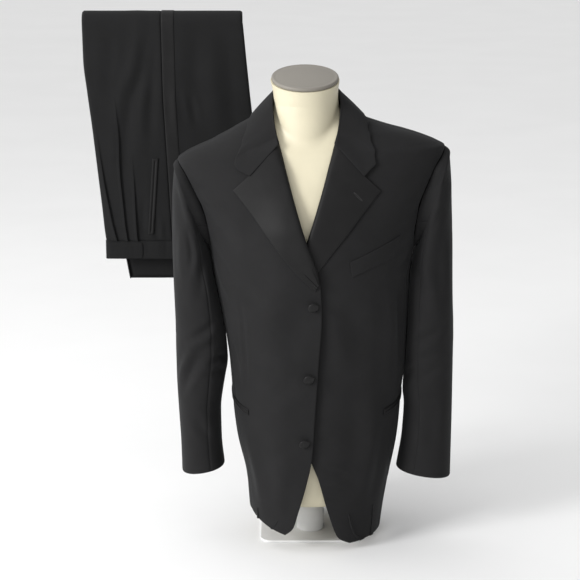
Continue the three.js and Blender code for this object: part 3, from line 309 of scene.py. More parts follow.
SEAM_EDGE = (0.0, 0.7, 1.5, 2.6, 4.2, 6.2)
FREE_EDGE = (0.0, 0.35, 0.9, 1.8, 3.2, 5.0)
# grid steps across and along a panel, and how far its free edges roll in
PANEL_STEPS, LAPEL_STEPS = (3.2, 3.6), (2.2, 3.0)
PANEL_ROLL, TRIM_ROLL, TROUSER_ROLL, PATCH_ROLL = 0.7, 0.6, 0.4, 0.5
SEAM_REACH, ROLL_REACH, PATCH_REACH = 2.4, 0.7, 0.8


def measured(surface, steps=160):
    """Cloth lengths across and along a surface of parameters (u, v), both from 0 to 1."""
    t = np.linspace(0, 1, steps)
    across = surface(t, np.full(steps, 0.5))
    along = surface(np.full(steps, 0.5), t)
    return tuple(float(np.linalg.norm(np.diff(p, axis=0), axis=1).sum()) for p in (across, along))


def cloth_grid(surface, step_u, step_v, edges):
    """A grid of points on the surface, evenly spaced along each row, closer at the edges.

    `edges` names what each edge is, in the order u=0, u=1, v=0, v=1: "seam" or "free"."""
    kinds = {"seam": SEAM_EDGE, "free": FREE_EDGE}
    wide, long = measured(surface)
    vs = clustered(0, long, kinds[edges[2]], kinds[edges[3]], step_v) / long
    us = clustered(0, wide, kinds[edges[0]], kinds[edges[1]], step_u)
    fine = np.linspace(0, 1, 200)
    samples = surface(np.tile(fine, (len(vs), 1)), np.tile(vs[:, None], (1, len(fine))))
    lengths = np.zeros(samples.shape[:2])
    lengths[:, 1:] = np.cumsum(np.linalg.norm(np.diff(samples, axis=1), axis=2), axis=1)
    u = np.empty((len(vs), len(us)))
    from_end = wide - us
    for r, row in enumerate(lengths):
        ratio = row[-1] / wide
        middle = us * ratio
        low, high = us, row[-1] - from_end
        t = smooth(us, wide * 0.1, wide * 0.3)
        s = smooth(us, wide * 0.7, wide * 0.9)
        place = mix(mix(low, middle, t), high, s)
        u[r] = np.interp(np.clip(place, 0, row[-1]), row, fine)
    u[:, 0], u[:, -1] = 0, 1
    v = np.tile(vs[:, None], (1, len(us)))
    return u, v


def normals_of(points, outward):
    """Unit normals of a grid of points, on the side that the outward vectors point to."""
    du, dv = np.gradient(points, axis=1), np.gradient(points, axis=0)
    n = np.cross(du, dv)
    n /= np.maximum(np.linalg.norm(n, axis=2, keepdims=True), 1e-12)
    return n if (n * outward).sum() > 0 else -n


def edge_depth(points, edges, seam_depth, free_depth):
    """How far the cloth rolls in at its edges: a soft ditch at a seam, a round lip elsewhere."""
    along_u = np.zeros(points.shape[:2])
    along_u[:, 1:] = np.cumsum(np.linalg.norm(np.diff(points, axis=1), axis=2), axis=1)
    along_v = np.zeros(points.shape[:2])
    along_v[1:] = np.cumsum(np.linalg.norm(np.diff(points, axis=0), axis=2), axis=0)
    gaps = (along_u, along_u[:, -1:] - along_u, along_v, along_v[-1:] - along_v)
    total = np.zeros(points.shape[:2])
    for gap, kind in zip(gaps, edges):
        if kind == "seam":
            total = np.maximum(total, seam_depth * np.exp(-((gap / SEAM_REACH) ** 2)))
        else:
            total = np.maximum(total, free_depth * np.exp(-((gap / ROLL_REACH) ** 1.5)))
    return total


def deselect_all():
    for other in bpy.context.selected_objects:
        other.select_set(False)


def activate(piece):
    deselect_all()
    piece.select_set(True)
    bpy.context.view_layer.objects.active = piece


def linked(name, mesh):
    """A new object of the mesh, active and alone selected."""
    piece = bpy.data.objects.new(name, mesh)
    bpy.context.collection.objects.link(piece)
    activate(piece)
    return piece


def cloth_piece(name, outer, thickness, outward):
    """A shell of cloth with rounded rims through a grid of points, in millimetres."""
    rows, columns = outer.shape[:2]
    inner = outer - normals_of(outer, outward) * thickness
    deselect_all()
    bpy.ops.mesh.primitive_grid_add(x_subdivisions=columns - 1, y_subdivisions=rows - 1, size=1)
    piece = bpy.context.object
    piece.name = name
    mesh = piece.data
    mesh.name = name
    mesh.vertices.foreach_set("co", (outer * MM).reshape(-1).astype(np.float32))
    mesh.update()
    across = np.zeros((rows, columns))
    across[:, 1:] = np.cumsum(np.linalg.norm(np.diff(outer, axis=1), axis=2), axis=1)
    across -= across[:, columns // 2, None]
    along = np.zeros(rows)
    along[1:] = np.cumsum(np.linalg.norm(np.diff(outer[:, columns // 2], axis=0), axis=1))
    flat = np.stack([across, np.tile(along[:, None], (1, columns))], -1).reshape(-1, 2) * MM
    corners = np.empty(len(mesh.loops), np.int32)
    mesh.loops.foreach_get("vertex_index", corners)
    mesh.uv_layers.active.data.foreach_set("uv", flat[corners].reshape(-1).astype(np.float32))
    mesh.uv_layers.active.name = "cloth"
    edit = bmesh.new()
    edit.from_mesh(mesh)
    edit.verts.ensure_lookup_table()
    normals = normals_of(outer, outward).reshape(-1, 3)
    first = edit.faces[:][0]
    if first.normal.dot(Vector(normals[first.verts[0].index])) < 0:
        bmesh.ops.reverse_faces(edit, faces=edit.faces[:])
    outer_faces = edit.faces[:]
    border = [e for e in edit.edges if e.is_boundary]
    copied = bmesh.ops.duplicate(edit, geom=outer_faces)
    twin = copied["vert_map"]
    edit.verts.ensure_lookup_table()
    flat_inner = (inner * MM).reshape(-1, 3)
    for index in range(rows * columns):
        twin[edit.verts[index]].co = Vector(flat_inner[index])
    inner_faces = [g for g in copied["geom"] if isinstance(g, bmesh.types.BMFace)]
    bmesh.ops.reverse_faces(edit, faces=inner_faces)
    layer = edit.loops.layers.uv.active
    for edge in border:
        face = edge.link_faces[0]
        loop = next(l for l in face.loops if l.edge == edge)
        a, b = loop.vert, loop.link_loop_next.vert
        rim = edit.faces.new((b, a, twin[a], twin[b]))
        here = {a: loop[layer].uv.copy(), b: loop.link_loop_next[layer].uv.copy()}
        here[twin[a]], here[twin[b]] = here[a], here[b]
        for corner in rim.loops:
            corner[layer].uv = here[corner.vert]
    edit.to_mesh(mesh)
    edit.free()
    activate(piece)
    bpy.ops.object.shade_smooth()
    return piece


def finish_piece(piece, slot, *nodes, finish=None):
    """Gives the piece its finish and puts it in the place of its CAD nodes."""
    piece.data.materials.clear()
    piece.data.materials.append(finish_named(finish or slot))
    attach(piece, BODY_NAME)
    if nodes:
        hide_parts(*nodes)


def sew(name, points, outward, thickness, slot, nodes):
    """A sheet of cloth through the points: its shell, finish and place; its flat cut is worked out but not
    kept.
    """
    piece = cloth_piece(name, points, thickness, outward)
    finish_piece(piece, slot, *nodes)
    declare_sheet(points)
    return piece


CHEST_Z = 640


def body_outward(points):
    centre = np.stack([np.full(points.shape[:2], NECK_X), np.zeros(points.shape[:2]),
                       np.minimum(points[..., 2], CHEST_Z)], -1)
    return points - centre


def area_of(points):
    """Area of a grid of points, in square metres."""
    a, b = points[1:, 1:] - points[:-1, :-1], points[1:, :-1] - points[:-1, 1:]
    return float(np.linalg.norm(np.cross(a, b), axis=2).sum() / 2) * MM * MM


def declare_sheet(points):
    """Works out the flat cut of the cloth, the box round it and its area, and keeps neither."""
    wide = max(float(np.linalg.norm(np.diff(row, axis=0), axis=1).sum()) for row in points[::8])
    columns = points.transpose(1, 0, 2)[::8]
    long = max(float(np.linalg.norm(np.diff(column, axis=0), axis=1).sum()) for column in columns)
    flat = (round(wide * MM, 4), round(long * MM, 4))
    box = flat[0] * flat[1]
    area = round(min(max(area_of(points), 0.31 * box), box), 6)


# Jacket panels. Each function gives points for u across and v along, both from 0 to 1.
# z, front angle, back angle of the armhole
UNDERARM_Z = 566
ARMHOLE = {
    RIGHT: [(558, 90, 90), (566, 81, 99), (610, 74, 106), (656, 71, 110), (696, 72, 108),
            (716, 79, 101), (724, 90, 90)],
    LEFT: [(558, 90, 90), (566, 81, 99), (610, 74, 106), (664, 69, 110), (712, 70, 108),
           (738, 79, 101), (748, 90, 90)],
}


def seam_angle(side, column):
    rows = [(0, 72, 108), (515, 72, 108)] + ARMHOLE[side][1:]
    return curve([r[0] for r in rows], [r[column] for r in rows])


# x and z of the front edge, height of the same row at the side seam
RIGHT_EDGE = [(-46, 35, 60), (-33, 48, 78), (-21, 88, 110), (-8, 140, 155), (1, 190, 200),
              (6, 270, 275), (12, 370, 370), (17, 455, 455), (15, 515, 515)]
LEFT_EDGE = [(72, 14, 20), (51, 27, 42), (30, 84, 95), (13, 146, 150), (-3, 190, 200),
             (-16, 270, 275), (-26, 370, 370), (-32, 455, 455), (-33, 515, 515)]
ROLL_EDGE = [(-3, 572), (-21, 622), (-41, 688), (-59, 752), (-72, 795), (-84, 814)]


def front_surface(side):
    edge = RIGHT_EDGE if side == RIGHT else LEFT_EDGE
    across = (lambda x: x) if side == RIGHT else (lambda x: LAPEL_MIRROR - x)
    roll = [(across(x), z, arm[0]) for (x, z), arm in zip(ROLL_EDGE, ARMHOLE[side][1:])]
    table = edge + roll
    edge_x, edge_z, side_z = rows_of(table)
    seam = seam_angle(side, 1)
    stand = lap_stand if side == RIGHT else no_stand

    def surface(u, v, lift=0.0):
        row = np.asarray(v) * (len(table) - 1)
        x, z = edge_x(row), edge_z(row)
        start = angle_of(np.where(x == 0, 1e-6, x), z)
        start = np.where(side > 0, np.minimum(start, 90 - SEAM_ANGLE),
                         np.maximum(start, -90 + SEAM_ANGLE))
        angle = mix(start, side * (seam(side_z(row)) - SEAM_ANGLE), u)
        angle = np.where(np.abs(angle) < 1e-4, 1e-4, angle)
        height = mix(z, side_z(row), u)
        place = on_body(angle, height)
        return on_body(angle, height, lift + stand(place[..., 0], height))

    def crease_places(u, v):
        row = np.asarray(v) * (len(table) - 1)
        start = angle_of(np.where(edge_x(row) == 0, 1e-6, edge_x(row)), edge_z(row))
        return mix(start, side * seam(side_z(row)), u), mix(edge_z(row), side_z(row), u)

    return surface, crease_places


RIGHT_SIDE_HEM, LEFT_SIDE_HEM, BACK_HEM = 60, 20, 40
UNDERARM_DIP = 8
MM_PER_DEGREE = 2.6


def side_surface(side):
    hem = RIGHT_SIDE_HEM if side == RIGHT else LEFT_SIDE_HEM
    front, back = seam_angle(side, 1), seam_angle(side, 2)

    def places(u, v):
        z = mix(hem, UNDERARM_Z, np.asarray(v))
        angle = mix(front(z) + SEAM_ANGLE, back(z) - SEAM_ANGLE, u)
        dip = UNDERARM_DIP * smooth(v, 0.9, 1) * np.sin(np.pi * np.asarray(u))
        return angle, z - dip

    def surface(u, v):
        angle, z = places(u, v)
        return on_body(side * angle, z)

    return surface, places


def back_surface(side):
    side_hem = RIGHT_SIDE_HEM if side == RIGHT else LEFT_SIDE_HEM
    arm = [r[0] for r in ARMHOLE[side][1:]]
    table = [(180, BACK_HEM, side_hem)]
    table += [(180, z, z) for z in (110, 200, 275, 370, 455, 515)]
    table += [(180, 572, arm[0]), (180, 640, arm[1]), (180, 712, arm[2]), (180, 780, arm[3]),
              (172, 818, arm[4]), (132, 818, arm[5] - 2), (90, 814, arm[5])]
    edge_angle, edge_z, side_z = rows_of(table)
    seam = seam_angle(side, 2)

    def places(u, v):
        row = np.asarray(v) * (len(table) - 1)
        edge = np.clip(edge_angle(row), 90 + SEAM_ANGLE, 180 - SEAM_ANGLE)
        return mix(edge, seam(side_z(row)) + SEAM_ANGLE, u), mix(edge_z(row), side_z(row), u)

    def surface(u, v):
        angle, z = places(u, v)
        return on_body(side * angle, z)

    return surface, places


def on_cloth(angle, z, creases):
    """How far the cloth sinks at angles and heights of the jacket's body."""
    return crease_field(angle * MM_PER_DEGREE, z, scaled_across(creases, MM_PER_DEGREE))


def jacket_panel(surface, places, creases, edges, settings):
    """A body panel of the jacket with its creases, seams and rolled edges."""
    u, v = cloth_grid(surface, *PANEL_STEPS, edges)
    points = surface(u, v)
    outward = body_outward(points)
    normals = normals_of(points, outward)
    angle, z = places(u, v)
    depth = on_cloth(angle, z, creases) * settings.crease_strength
    depth = depth + edge_depth(points, edges, settings.seam_depth / MM, PANEL_ROLL)
    return points - normals * depth[..., None], outward


# Lapels, for the wearer's right: rollX, rollZ, edgeX, edgeZ
LAPEL = [(12, 524, 5, 510), (1, 560, -26, 541), (-14, 602, -54, 577), (-28, 645, -83, 613),
         (-41, 688, -112, 650), (-53, 731, -138, 681), (-63.5, 766, -141, 683)]
# share of the width, distance toward the roll line, height of the face off the front
LAPEL_PROFILE = [(0.0, -3.7, -0.8), (0.0, -3.9, 0.8), (0.0, -3.4, 2.3), (0.0, -1.8, 3.9),
                 (0.0, 0.4, 4.8), (0.06, 2.2, 5.2), (0.2, 0.6, 5.0), (0.4, 0.0, 4.3),
                 (0.6, 0.0, 3.4), (0.8, 0.0, 2.8), (1.0, 0.0, 2.5)]
NOTCH_SAG, NOTCH_SHARE = 5.0, 0.6


def lapel_surface(side):
    roll_x, roll_z, edge_x, edge_z = rows_of(LAPEL)
    profile = np.array(LAPEL_PROFILE)
    places = np.linspace(0, 1, len(profile))
    share_of, along_of, out_of = (curve(places, c) for c in profile.T)
    stand = lap_stand if side == RIGHT else no_stand

    def surface(u, v):
        row = np.asarray(v) * (len(LAPEL) - 1)
        share = np.clip(share_of(u), 0, 1)
        drop = np.minimum(share / NOTCH_SHARE, (1 - share) / (1 - NOTCH_SHARE))
        sag = NOTCH_SAG * drop * smooth(row, len(LAPEL) - 1.4, len(LAPEL) - 1)
        narrow = np.minimum(1, (roll_x(row) - edge_x(row)) / 20)
        x = mix(roll_x(row), edge_x(row), share) - along_of(u) * narrow
        z = mix(roll_z(row), edge_z(row), share) - sag
        x = x if side == RIGHT else LAPEL_MIRROR - x
        x = np.where(np.abs(x) < 1e-4, 1e-4, x)
        return on_body(angle_of(x, z), z, out_of(u) + stand(x, z))

    return surface


# Collar, for the wearer's right: fold x, y and z, edge x or else its angle, and edge z
COLLAR = [
    (-60, -67.5, 763.5, -135, None, 725), (-65.2, -59, 779, -128, None, 743),
    (-70, -42, 802, -119, None, 765), (-73, -18, 828, -109, None, 789),
    (-72.5, 6, 842, None, 90, 803), (-62, 35, 849, None, 117, 801),
    (-40, 54, 852, None, 148, 799), (NECK_X, 61.5, 853, None, 180, 798),
]
COLLAR_CLEARANCE = 3.0
COLLAR_PUFF = 1.0
COLLAR_POINT = {RIGHT: (4, -5), LEFT: (-4, 5)}
NOTCH_X, NOTCH_Z, NOTCH_DOWN = -110.5, 710.0, 0.75
COLLAR_STAND = 20.0
COLLAR_ROLL = 1.9
COLLAR_LEAN = 2.5
COLLAR_MIDDLE_Z = 760.0
# how much further off the front the collar's end lies, on the lapel: at the fold, at the edge
OVER_LAPEL = (4.4, 1.6)


def pushed_out(points, clearance):
    """The points moved away from the body's axis to at least the clearance outside it."""
    x, y, z = points[..., 0], points[..., 1], points[..., 2]
    width, front, back, power = section(np.where(x < 0, -1, 1), z, clearance)
    depth = np.where(y < 0, front, back)
    reach = (np.abs(x / width) ** power + np.abs(y / depth) ** power) ** (1 / power)
    inside = (reach < 1) & (z - clearance <= BODY[-1, 0])
    scale = np.where(inside, 1 / np.maximum(reach, 1e-6), 1)
    return np.stack([x * scale, y * scale, z], -1)


def collar_half(side, rows, downs):
    """Points of the collar's fall and stand on one side, for row places and places down it."""
    across = (lambda x: x) if side == RIGHT else (lambda x: 2 * NECK_X - x)
    table = []
    for i, (fold_x, fold_y, fold_z, edge_x, edge_angle, edge_z) in enumerate(COLLAR):
        shift_x, shift_z = COLLAR_POINT[side] if i == 0 else (0, 0)
        if edge_angle is None:
            edge_angle = abs(float(angle_of(across(edge_x) + shift_x, edge_z + shift_z)))
        table.append((across(fold_x), fold_y, fold_z, edge_angle, edge_z + shift_z))
    curves = rows_of(table)

    def fall(row, down):
        fold_x, fold_y, fold_z, edge_angle, edge_z = (c(row) for c in curves)
        fold = np.stack([fold_x, fold_y, fold_z], -1)
        edge = on_body(side * edge_angle, edge_z, COLLAR_CLEARANCE)
        outward = np.stack([fold_x - NECK_X, fold_y, 0 * fold_x], -1)
        outward /= np.linalg.norm(outward, axis=-1, keepdims=True)
        point = mix(fold, edge, down[..., None])
        return point + outward * (COLLAR_PUFF * np.sin(np.pi * down))[..., None], fold, outward

    row, down = np.meshgrid(rows, downs, indexing="ij")
    point, fold, outward = fall(row, np.maximum(down, 0))
    corner = fall(np.array([0.0]), np.array([NOTCH_DOWN]))[0][0]
    fade = curve([0, 0.5, 1, 1.5], [1, 0.45, 0.15, 0])(np.minimum(row, 1.5))
    share = np.where(down > NOTCH_DOWN, (1 - down) / (1 - NOTCH_DOWN), down / NOTCH_DOWN)
    share = np.clip(share, 0, 1) * fade
    point[..., 0] += share * (across(NOTCH_X) - corner[0])
    point[..., 2] += share * (NOTCH_Z - corner[2])
    near = point.copy()
    clearance = COLLAR_CLEARANCE + mix(*OVER_LAPEL, np.clip(down, 0, 1)) * (1 - smooth(row, 0, 1.2))
    front_y = on_body(angle_of(near[..., 0], near[..., 2]), near[..., 2], clearance)[..., 1]
    near[..., 1] = np.minimum(near[..., 1], front_y)
    far = pushed_out(point, COLLAR_CLEARANCE)
    point = mix(near, far, smooth(row, 0.75, 1.9)[..., None])
    # over the top: `down` from -1 (foot of the stand inside) to 0 (the fold line)
    t = np.clip(-down, 0, 1)
    roll = np.clip(t / 0.25, 0, 1) * math.pi
    fallen = np.clip((t - 0.25) / 0.75, 0, 1)
    inward = COLLAR_ROLL * (1 - np.cos(roll)) - COLLAR_LEAN * fallen ** 2
    raised = COLLAR_ROLL * np.sin(roll) - COLLAR_STAND * fallen * smooth(row, -0.6, 1.2)
    stand = fold - outward * inward[..., None]
    stand[..., 2] += raised
    return np.where((down < 0)[..., None], stand, point)


SLEEVE = {
    RIGHT: [(249, 714, 191, 566, -54, 56), (252, 680, 182, 540, -61, 60), (254, 620, 172, 496, -63, 58),
            (255, 540, 160, 450, -64, 54), (253, 460, 153, 396, -64, 50), (251, 394, 154, 352, -63, 46),
            (250, 320, 161, 308, -61, 41), (247, 255, 168, 252, -62, 36), (243.5, 190, 167, 196, -63, 32),
            (242, 133, 162, 146, -64, 28)],
    LEFT: [(250, 738, 193, 566, -54, 56), (254, 690, 184, 540, -61, 60), (257, 620, 174, 496, -63, 58),
           (261, 540, 170, 450, -64, 54), (263, 460, 168, 396, -64, 50), (264, 394, 167, 352, -63, 46),
           (264, 320, 168, 305, -62, 41), (264, 255, 174, 262, -62, 36), (263.5, 190, 171, 206, -63, 32),
           (263, 124, 161, 140, -64, 28)],
}
SLEEVE_POWER = 2.15
SLEEVE_SEAM, SLEEVE_GAP_ANGLE = 112.0, 0.04
ARMHOLE_CLEARANCE = 0.8
SLEEVE_CLEARANCE = 2.6
MM_PER_TURN = 0.83
SLEEVE_CREASES_SHARE = 1.35
# the soft roll of the sleeve head below the shoulder seam
CROWN_HEIGHT, CROWN_PLACE, CROWN_WIDTH = 1.6, 9, 6


def sleeve_surface(side, from_turn, to_turn):
    table = SLEEVE[side]
    out_x, out_z, in_x, in_z, front, back = rows_of(table)
    arm = ARMHOLE[side]
    low, high = arm[0][0], arm[-1][0]
    arm_front = curve([r[0] for r in arm], [r[1] for r in arm])
    arm_back = curve([r[0] for r in arm], [r[2] for r in arm])

    def armhole_ring(turn):
        z = (low + high) / 2 + (high - low) / 2 * np.cos(np.radians(turn))
        angle = np.where(np.sin(np.radians(turn)) >= 0, arm_front(z), arm_back(z))
        return on_body(side * angle, z, ARMHOLE_CLEARANCE)

    def ring(row, turn):
        cosine, sine = np.cos(np.radians(turn)), np.sin(np.radians(turn))
        out = np.sign(cosine) * np.abs(cosine) ** (2 / SLEEVE_POWER)
        forward = np.sign(sine) * np.abs(sine) ** (2 / SLEEVE_POWER)
        x = mix(in_x(row), out_x(row), (out + 1) / 2)
        z = mix(in_z(row), out_z(row), (out + 1) / 2)
        y = mix(back(row), front(row), (forward + 1) / 2)
        width, body_front, body_back, power = section(side, z, 0.0)
        share = np.minimum(1, np.abs(y) / np.where(y < 0, body_front, body_back))
        body_side = width * (1 - share ** power) ** (1 / power)
        soft = np.clip(0.5 + (x - body_side - SLEEVE_CLEARANCE) / 6, 0, 1)
        x = mix(body_side + SLEEVE_CLEARANCE, x, soft) + 3 * soft * (1 - soft)
        return np.stack([side * x, y, z], -1)

    def places(u, v):
        return np.asarray(v) * len(table) - 1, mix(from_turn, to_turn, np.asarray(u))

    def surface(u, v):
        row, turn = places(u, v)
        lower = ring(np.maximum(row, 0), turn)
        return mix(lower, armhole_ring(turn), np.clip(-row, 0, 1)[..., None])

    def outward(u, v):
        row, _ = places(u, v)
        lower = np.maximum(row, 0)
        near = (ring(lower, 0 * row) + ring(lower, 0 * row + 180)) / 2
        start = (armhole_ring(0 * row) + armhole_ring(0 * row + 180)) / 2
        return surface(u, v) - mix(near, start, np.clip(-row, 0, 1)[..., None])

    return surface, places, outward


# Patches on the jacket
PATCH_FACE = 2.2
WELT_SIZE, WELT_WALL = (92, 32), 1.3
WELT_TOP, WELT_BOTTOM = ((67, 561), (160, 600)), ((71, 533), (148, 564))
HIP_FROM, HIP_TO = (50, 266), (112, 292)
HIP_LIP, HIP_SLIT = 5.0, 1.6
# the lapel's buttonhole: its two ends by x and z, half its width, and its ring of stitches
BUTTONHOLE = ((74, 683), (89, 668))
HOLE_HALF, EYE_WIDER, EYE_LENGTH = 1.0, 0.35, 2.5
STITCH_RADIUS, STITCH_RELIEF, STITCHES, STITCH_STEPS = 0.34, 0.1, 44, 260
LAPEL_OUTWARD = (0.25, -0.97, 0.05)
# buttons: x, z, droop, turn, how far the shank's foot is off the front
BUTTONS = [(1, 483, 22, 18, 1.6), (-6, 347, 20, 16, 1.6), (-13, 224, 25, 18, 2.0)]
BUTTON_RADIUS = 10.0
SHANK_LENGTH = 3.2

# Dress form: z, right and left half widths, front, back
FORM = [
    (79, 97, 99, 88, 90), (92, 103, 106, 96, 96), (126, 106, 110, 101, 99), (206, 118, 126, 106, 102),
    (282, 126, 138, 109, 101), (357, 133, 143, 108, 97), (444, 147, 153, 112, 96),
    (509, 161, 163, 117, 99), (553, 168, 168, 119, 102), (594, 172, 172, 116, 104),
    (637, 176, 176, 106, 102), (680, 179, 173, 93, 98),
    (712, 178, 166, 82, 92), (736, 171, 153, 76, 86), (747, 161, 145, 73, 83), (756, 150, 136, 71, 79),
    (764, 139, 128, 69, 76), (772, 128, 118, 67, 73), (779, 116, 107, 65, 70), (786, 105, 93, 64, 66),
    (793, 94, 77, 62, 63), (800, 84, 65, 61, 60), (807, 77, 57, 60, 57), (815, 70, 51, 60, 55),
    (828, 67, 47, 60, 54),
]
FORM_POWER = 2.15
FORM_X, FORM_Y, NECK_RADIUS = -10.0, -3.0, 57.0
FORM_CLEARANCE, FORM_BLEND = 3.0, 8.0
NECK_TILT = 13.0
NECK_TOP_X, NECK_TOP_Y, NECK_TOP_Z, NECK_TOP_RADIUS = -12.0, -4.0, 868.0, 62.0
CAP_RADIUS, CAP_THICKNESS = 60.5, 7.0
STEM_RADIUS, STEM_Y = 26.0, 8.0

# Trousers over the rail: z, turn, front x, seam x, back x, fullness of the layers under it
RAIL_RADIUS, RAIL_Y, RAIL_Z = 8.0, 240.0, 943.0
TROUSERS = [
    (519, 0, -398, -268, -166, 8), (545, 0, -401, -270, -156, 8), (580, 0, -404, -272, -144, 7),
    (620, 0, -408, -274, -131, 6), (680, 0, -414, -277, -117, 5), (740, 0, -420, -280, -110, 4),
    (810, 0, -428, -283, -116, 3), (871, 0, -434, -284, -122, 2), (943, 0, -435, -285, -129, 1),
    (943, 30, -435, -285, -130, 1), (943, 60, -435, -285, -130, 1), (943, 90, -435, -285, -130, 1),
    (943, 120, -435, -285, -130, 1), (943, 150, -434, -284, -130, 1), (943, 180, -433, -283, -130, 1),
    (810, 180, -420, -275, -130, 1), (640, 180, -392, -260, -128, 1), (520, 180, -372, -250, -127, 1),
    (432, 180, -357, -242, -127, 1),
]
LAST_ROW = len(TROUSERS) - 1
NEAR_ROWS = 9
HIDDEN_LAYERS, RAIL_GAP, LAYER_GAP = 8.0, 0.8, 1.2
PLEATS = np.array([(519, 0.17, 0.33, 0.48), (571, 0.12, 0.32, 0.49), (640, 0.08, 0.32, 0.51),
                   (740, 0.06, 0.36, 0.52), (943, 0.06, 0.34, 0.52)])
PLEAT_ENDS = (745, 815, 700)
PLEAT_HEIGHT = 4.5
FRONT_WIDTH, FRONT_STEP, BACK_WIDTH, BACK_STEP = 130, 2.6, 150, 2.8
PLY_WIDTH, PLY_STEP, PLY_CREASES_SHARE = 240, 5.0, 0.4
# inset of the edges and height of the hem of each ply
LAYERS = [(10.0, 440.0), (7.0, 443.5), (8.5, 437.5)]
WAIST_Z = 483.0
STRIPE_WIDTH, STRIPE_FACE = 24.0, 0.85
WAISTBAND_TOP, WAISTBAND_FRONT, WAISTBAND_BACK = 518.4, -399.0, -166.0
EXTENSION_FROM, EXTENSION_TO, EXTENSION_WALL = -398.0, -326.0, 1.1
SIDE_POCKET_TOP, SIDE_POCKET_BOTTOM = (-299, 682), (-310, 532)
POCKET_LIP, POCKET_SLIT = 5.0, 1.4
# x along the waistband, half width and depth of the small gathers in it
GATHERS = [(-384, 5, 0.5), (-362, 6, -0.5), (-344, 4, 0.6), (-318, 7, 0.7), (-297, 5, -0.5),
           (-281, 4, 0.8), (-258, 7, 0.6), (-236, 5, -0.6), (-214, 6, 0.7), (-190, 5, 0.5)]
trouser_z, trouser_turn, front_x, seam_x, back_x, fullness = rows_of(TROUSERS)


def on_fold(x, out, row, z=None):
    """A point `out` millimetres outside the rail's own surface, at a row of the trousers."""
    reach = RAIL_RADIUS + out
    angle = np.radians(trouser_turn(row))
    height = trouser_z(row) if z is None else z
    y = RAIL_Y - reach * np.cos(angle)
    return np.stack(np.broadcast_arrays(x, y, height + reach * np.sin(angle)), -1)


def outer_face(row):
    return RAIL_GAP + HIDDEN_LAYERS + fullness(row) + LAYER_GAP + TROUSER_WALL


def fold_outward(points, row):
    angle = np.radians(trouser_turn(row))
    return np.stack([0 * angle, -np.cos(angle), np.sin(angle)], -1) + 0 * points


def trouser_depth(x, row):
    """How far the cloth of the outer leg sinks in its creases, on the near and the far run."""
    z, turn = trouser_z(row), trouser_turn(row)
    near = crease_field(x, z, TROUSER_CREASES) * (1 - smooth(turn, 0, 60))
    far = crease_field(x, z, TROUSER_FAR_CREASES) * smooth(turn, 120, 180)
    return near + far


def trouser_rows(step):
    """Row places from the waist over the rail to the hem, evenly along the cloth."""
    fine = np.linspace(0, LAST_ROW, 900)
    line = on_fold(0 * fine, outer_face(fine), fine)
    length = np.concatenate([[0], np.cumsum(np.linalg.norm(np.diff(line, axis=0), axis=1))])
    places = clustered(0, length[-1], FREE_EDGE, FREE_EDGE, step)
    return np.interp(places, length, fine)


def between_keys(keys, width, step):
    """Shares of the width and insets of the face, in about even steps from key to key."""
    shares, insets = [], []
    for (s0, i0), (s1, i1) in zip(keys, keys[1:]):
        steps = max(1, int(round(np.max(np.abs(s1 - s0)) * width / step)))
        for t in np.arange(steps) / steps:
            shares.append(mix(s0, s1, t))
            insets.append(mix(i0, i1, t))
    shares.append(keys[-1][0])
    insets.append(keys[-1][1])
    return shares, insets


def trouser_front_grid(rows):
    """Across the front: the turned edge, then three pleats, each a slow rise and a sharp drop."""
    z = np.where(trouser_turn(rows) > 0, RAIL_Z, trouser_z(rows))
    near = trouser_turn(rows) == 0
    keys = [(0.012 + 0 * z, 6 + 0 * z), (0.0 + 0 * z, 3 + 0 * z), (0.015 + 0 * z, 0.7 + 0 * z)]
    for k in range(3):
        place = curve(PLEATS[:, 0], PLEATS[:, k + 1])(z)
        rise = np.where(near, PLEAT_HEIGHT * (1 - smooth(z, PLEAT_ENDS[k] - 160, PLEAT_ENDS[k])), 0)
        keys += [(place - 0.035, -0.45 * rise), (place - 0.006, -0.97 * rise), (place, -0.86 * rise),
                 (place + 0.004, -0.28 * rise), (place + 0.016, 0.12 * rise)]
    keys += [(0.7 + 0 * z, -0.5 + 0 * z), (0.85 + 0 * z, 0 * z), (0.955 + 0 * z, 0 * z),
             (0.985 + 0 * z, 0 * z), (1.0 + 0 * z, 0 * z)]
    shares, insets = between_keys(keys, FRONT_WIDTH, FRONT_STEP)
    share, inset = np.stack(shares, 1), np.stack(insets, 1)
    row = np.tile(rows[:, None], (1, share.shape[1]))
    x = mix(front_x(row), seam_x(row) - SEAM_GAP / 2, share)
    return on_fold(x, outer_face(row) - inset - trouser_depth(x, row), row), row


def trouser_back_grid(rows):
    """Across the back: flat from the seam, then the turned edge."""
    keys = [(0.0, 0.0), (0.012, 0.0), (0.03, 0.0), (0.5, 0.0), (0.97, 0.0), (0.985, 0.7), (1.0, 3.0),
            (0.988, 6.0)]
    shares, insets = between_keys(keys, BACK_WIDTH, BACK_STEP)
    row = np.tile(rows[:, None], (1, len(shares)))
    share, inset = np.array(shares)[None, :] + 0 * row, np.array(insets)[None, :] + 0 * row
    x = mix(seam_x(row) + SEAM_GAP / 2, back_x(row), share)
    return on_fold(x, outer_face(row) - inset - trouser_depth(x, row), row), row


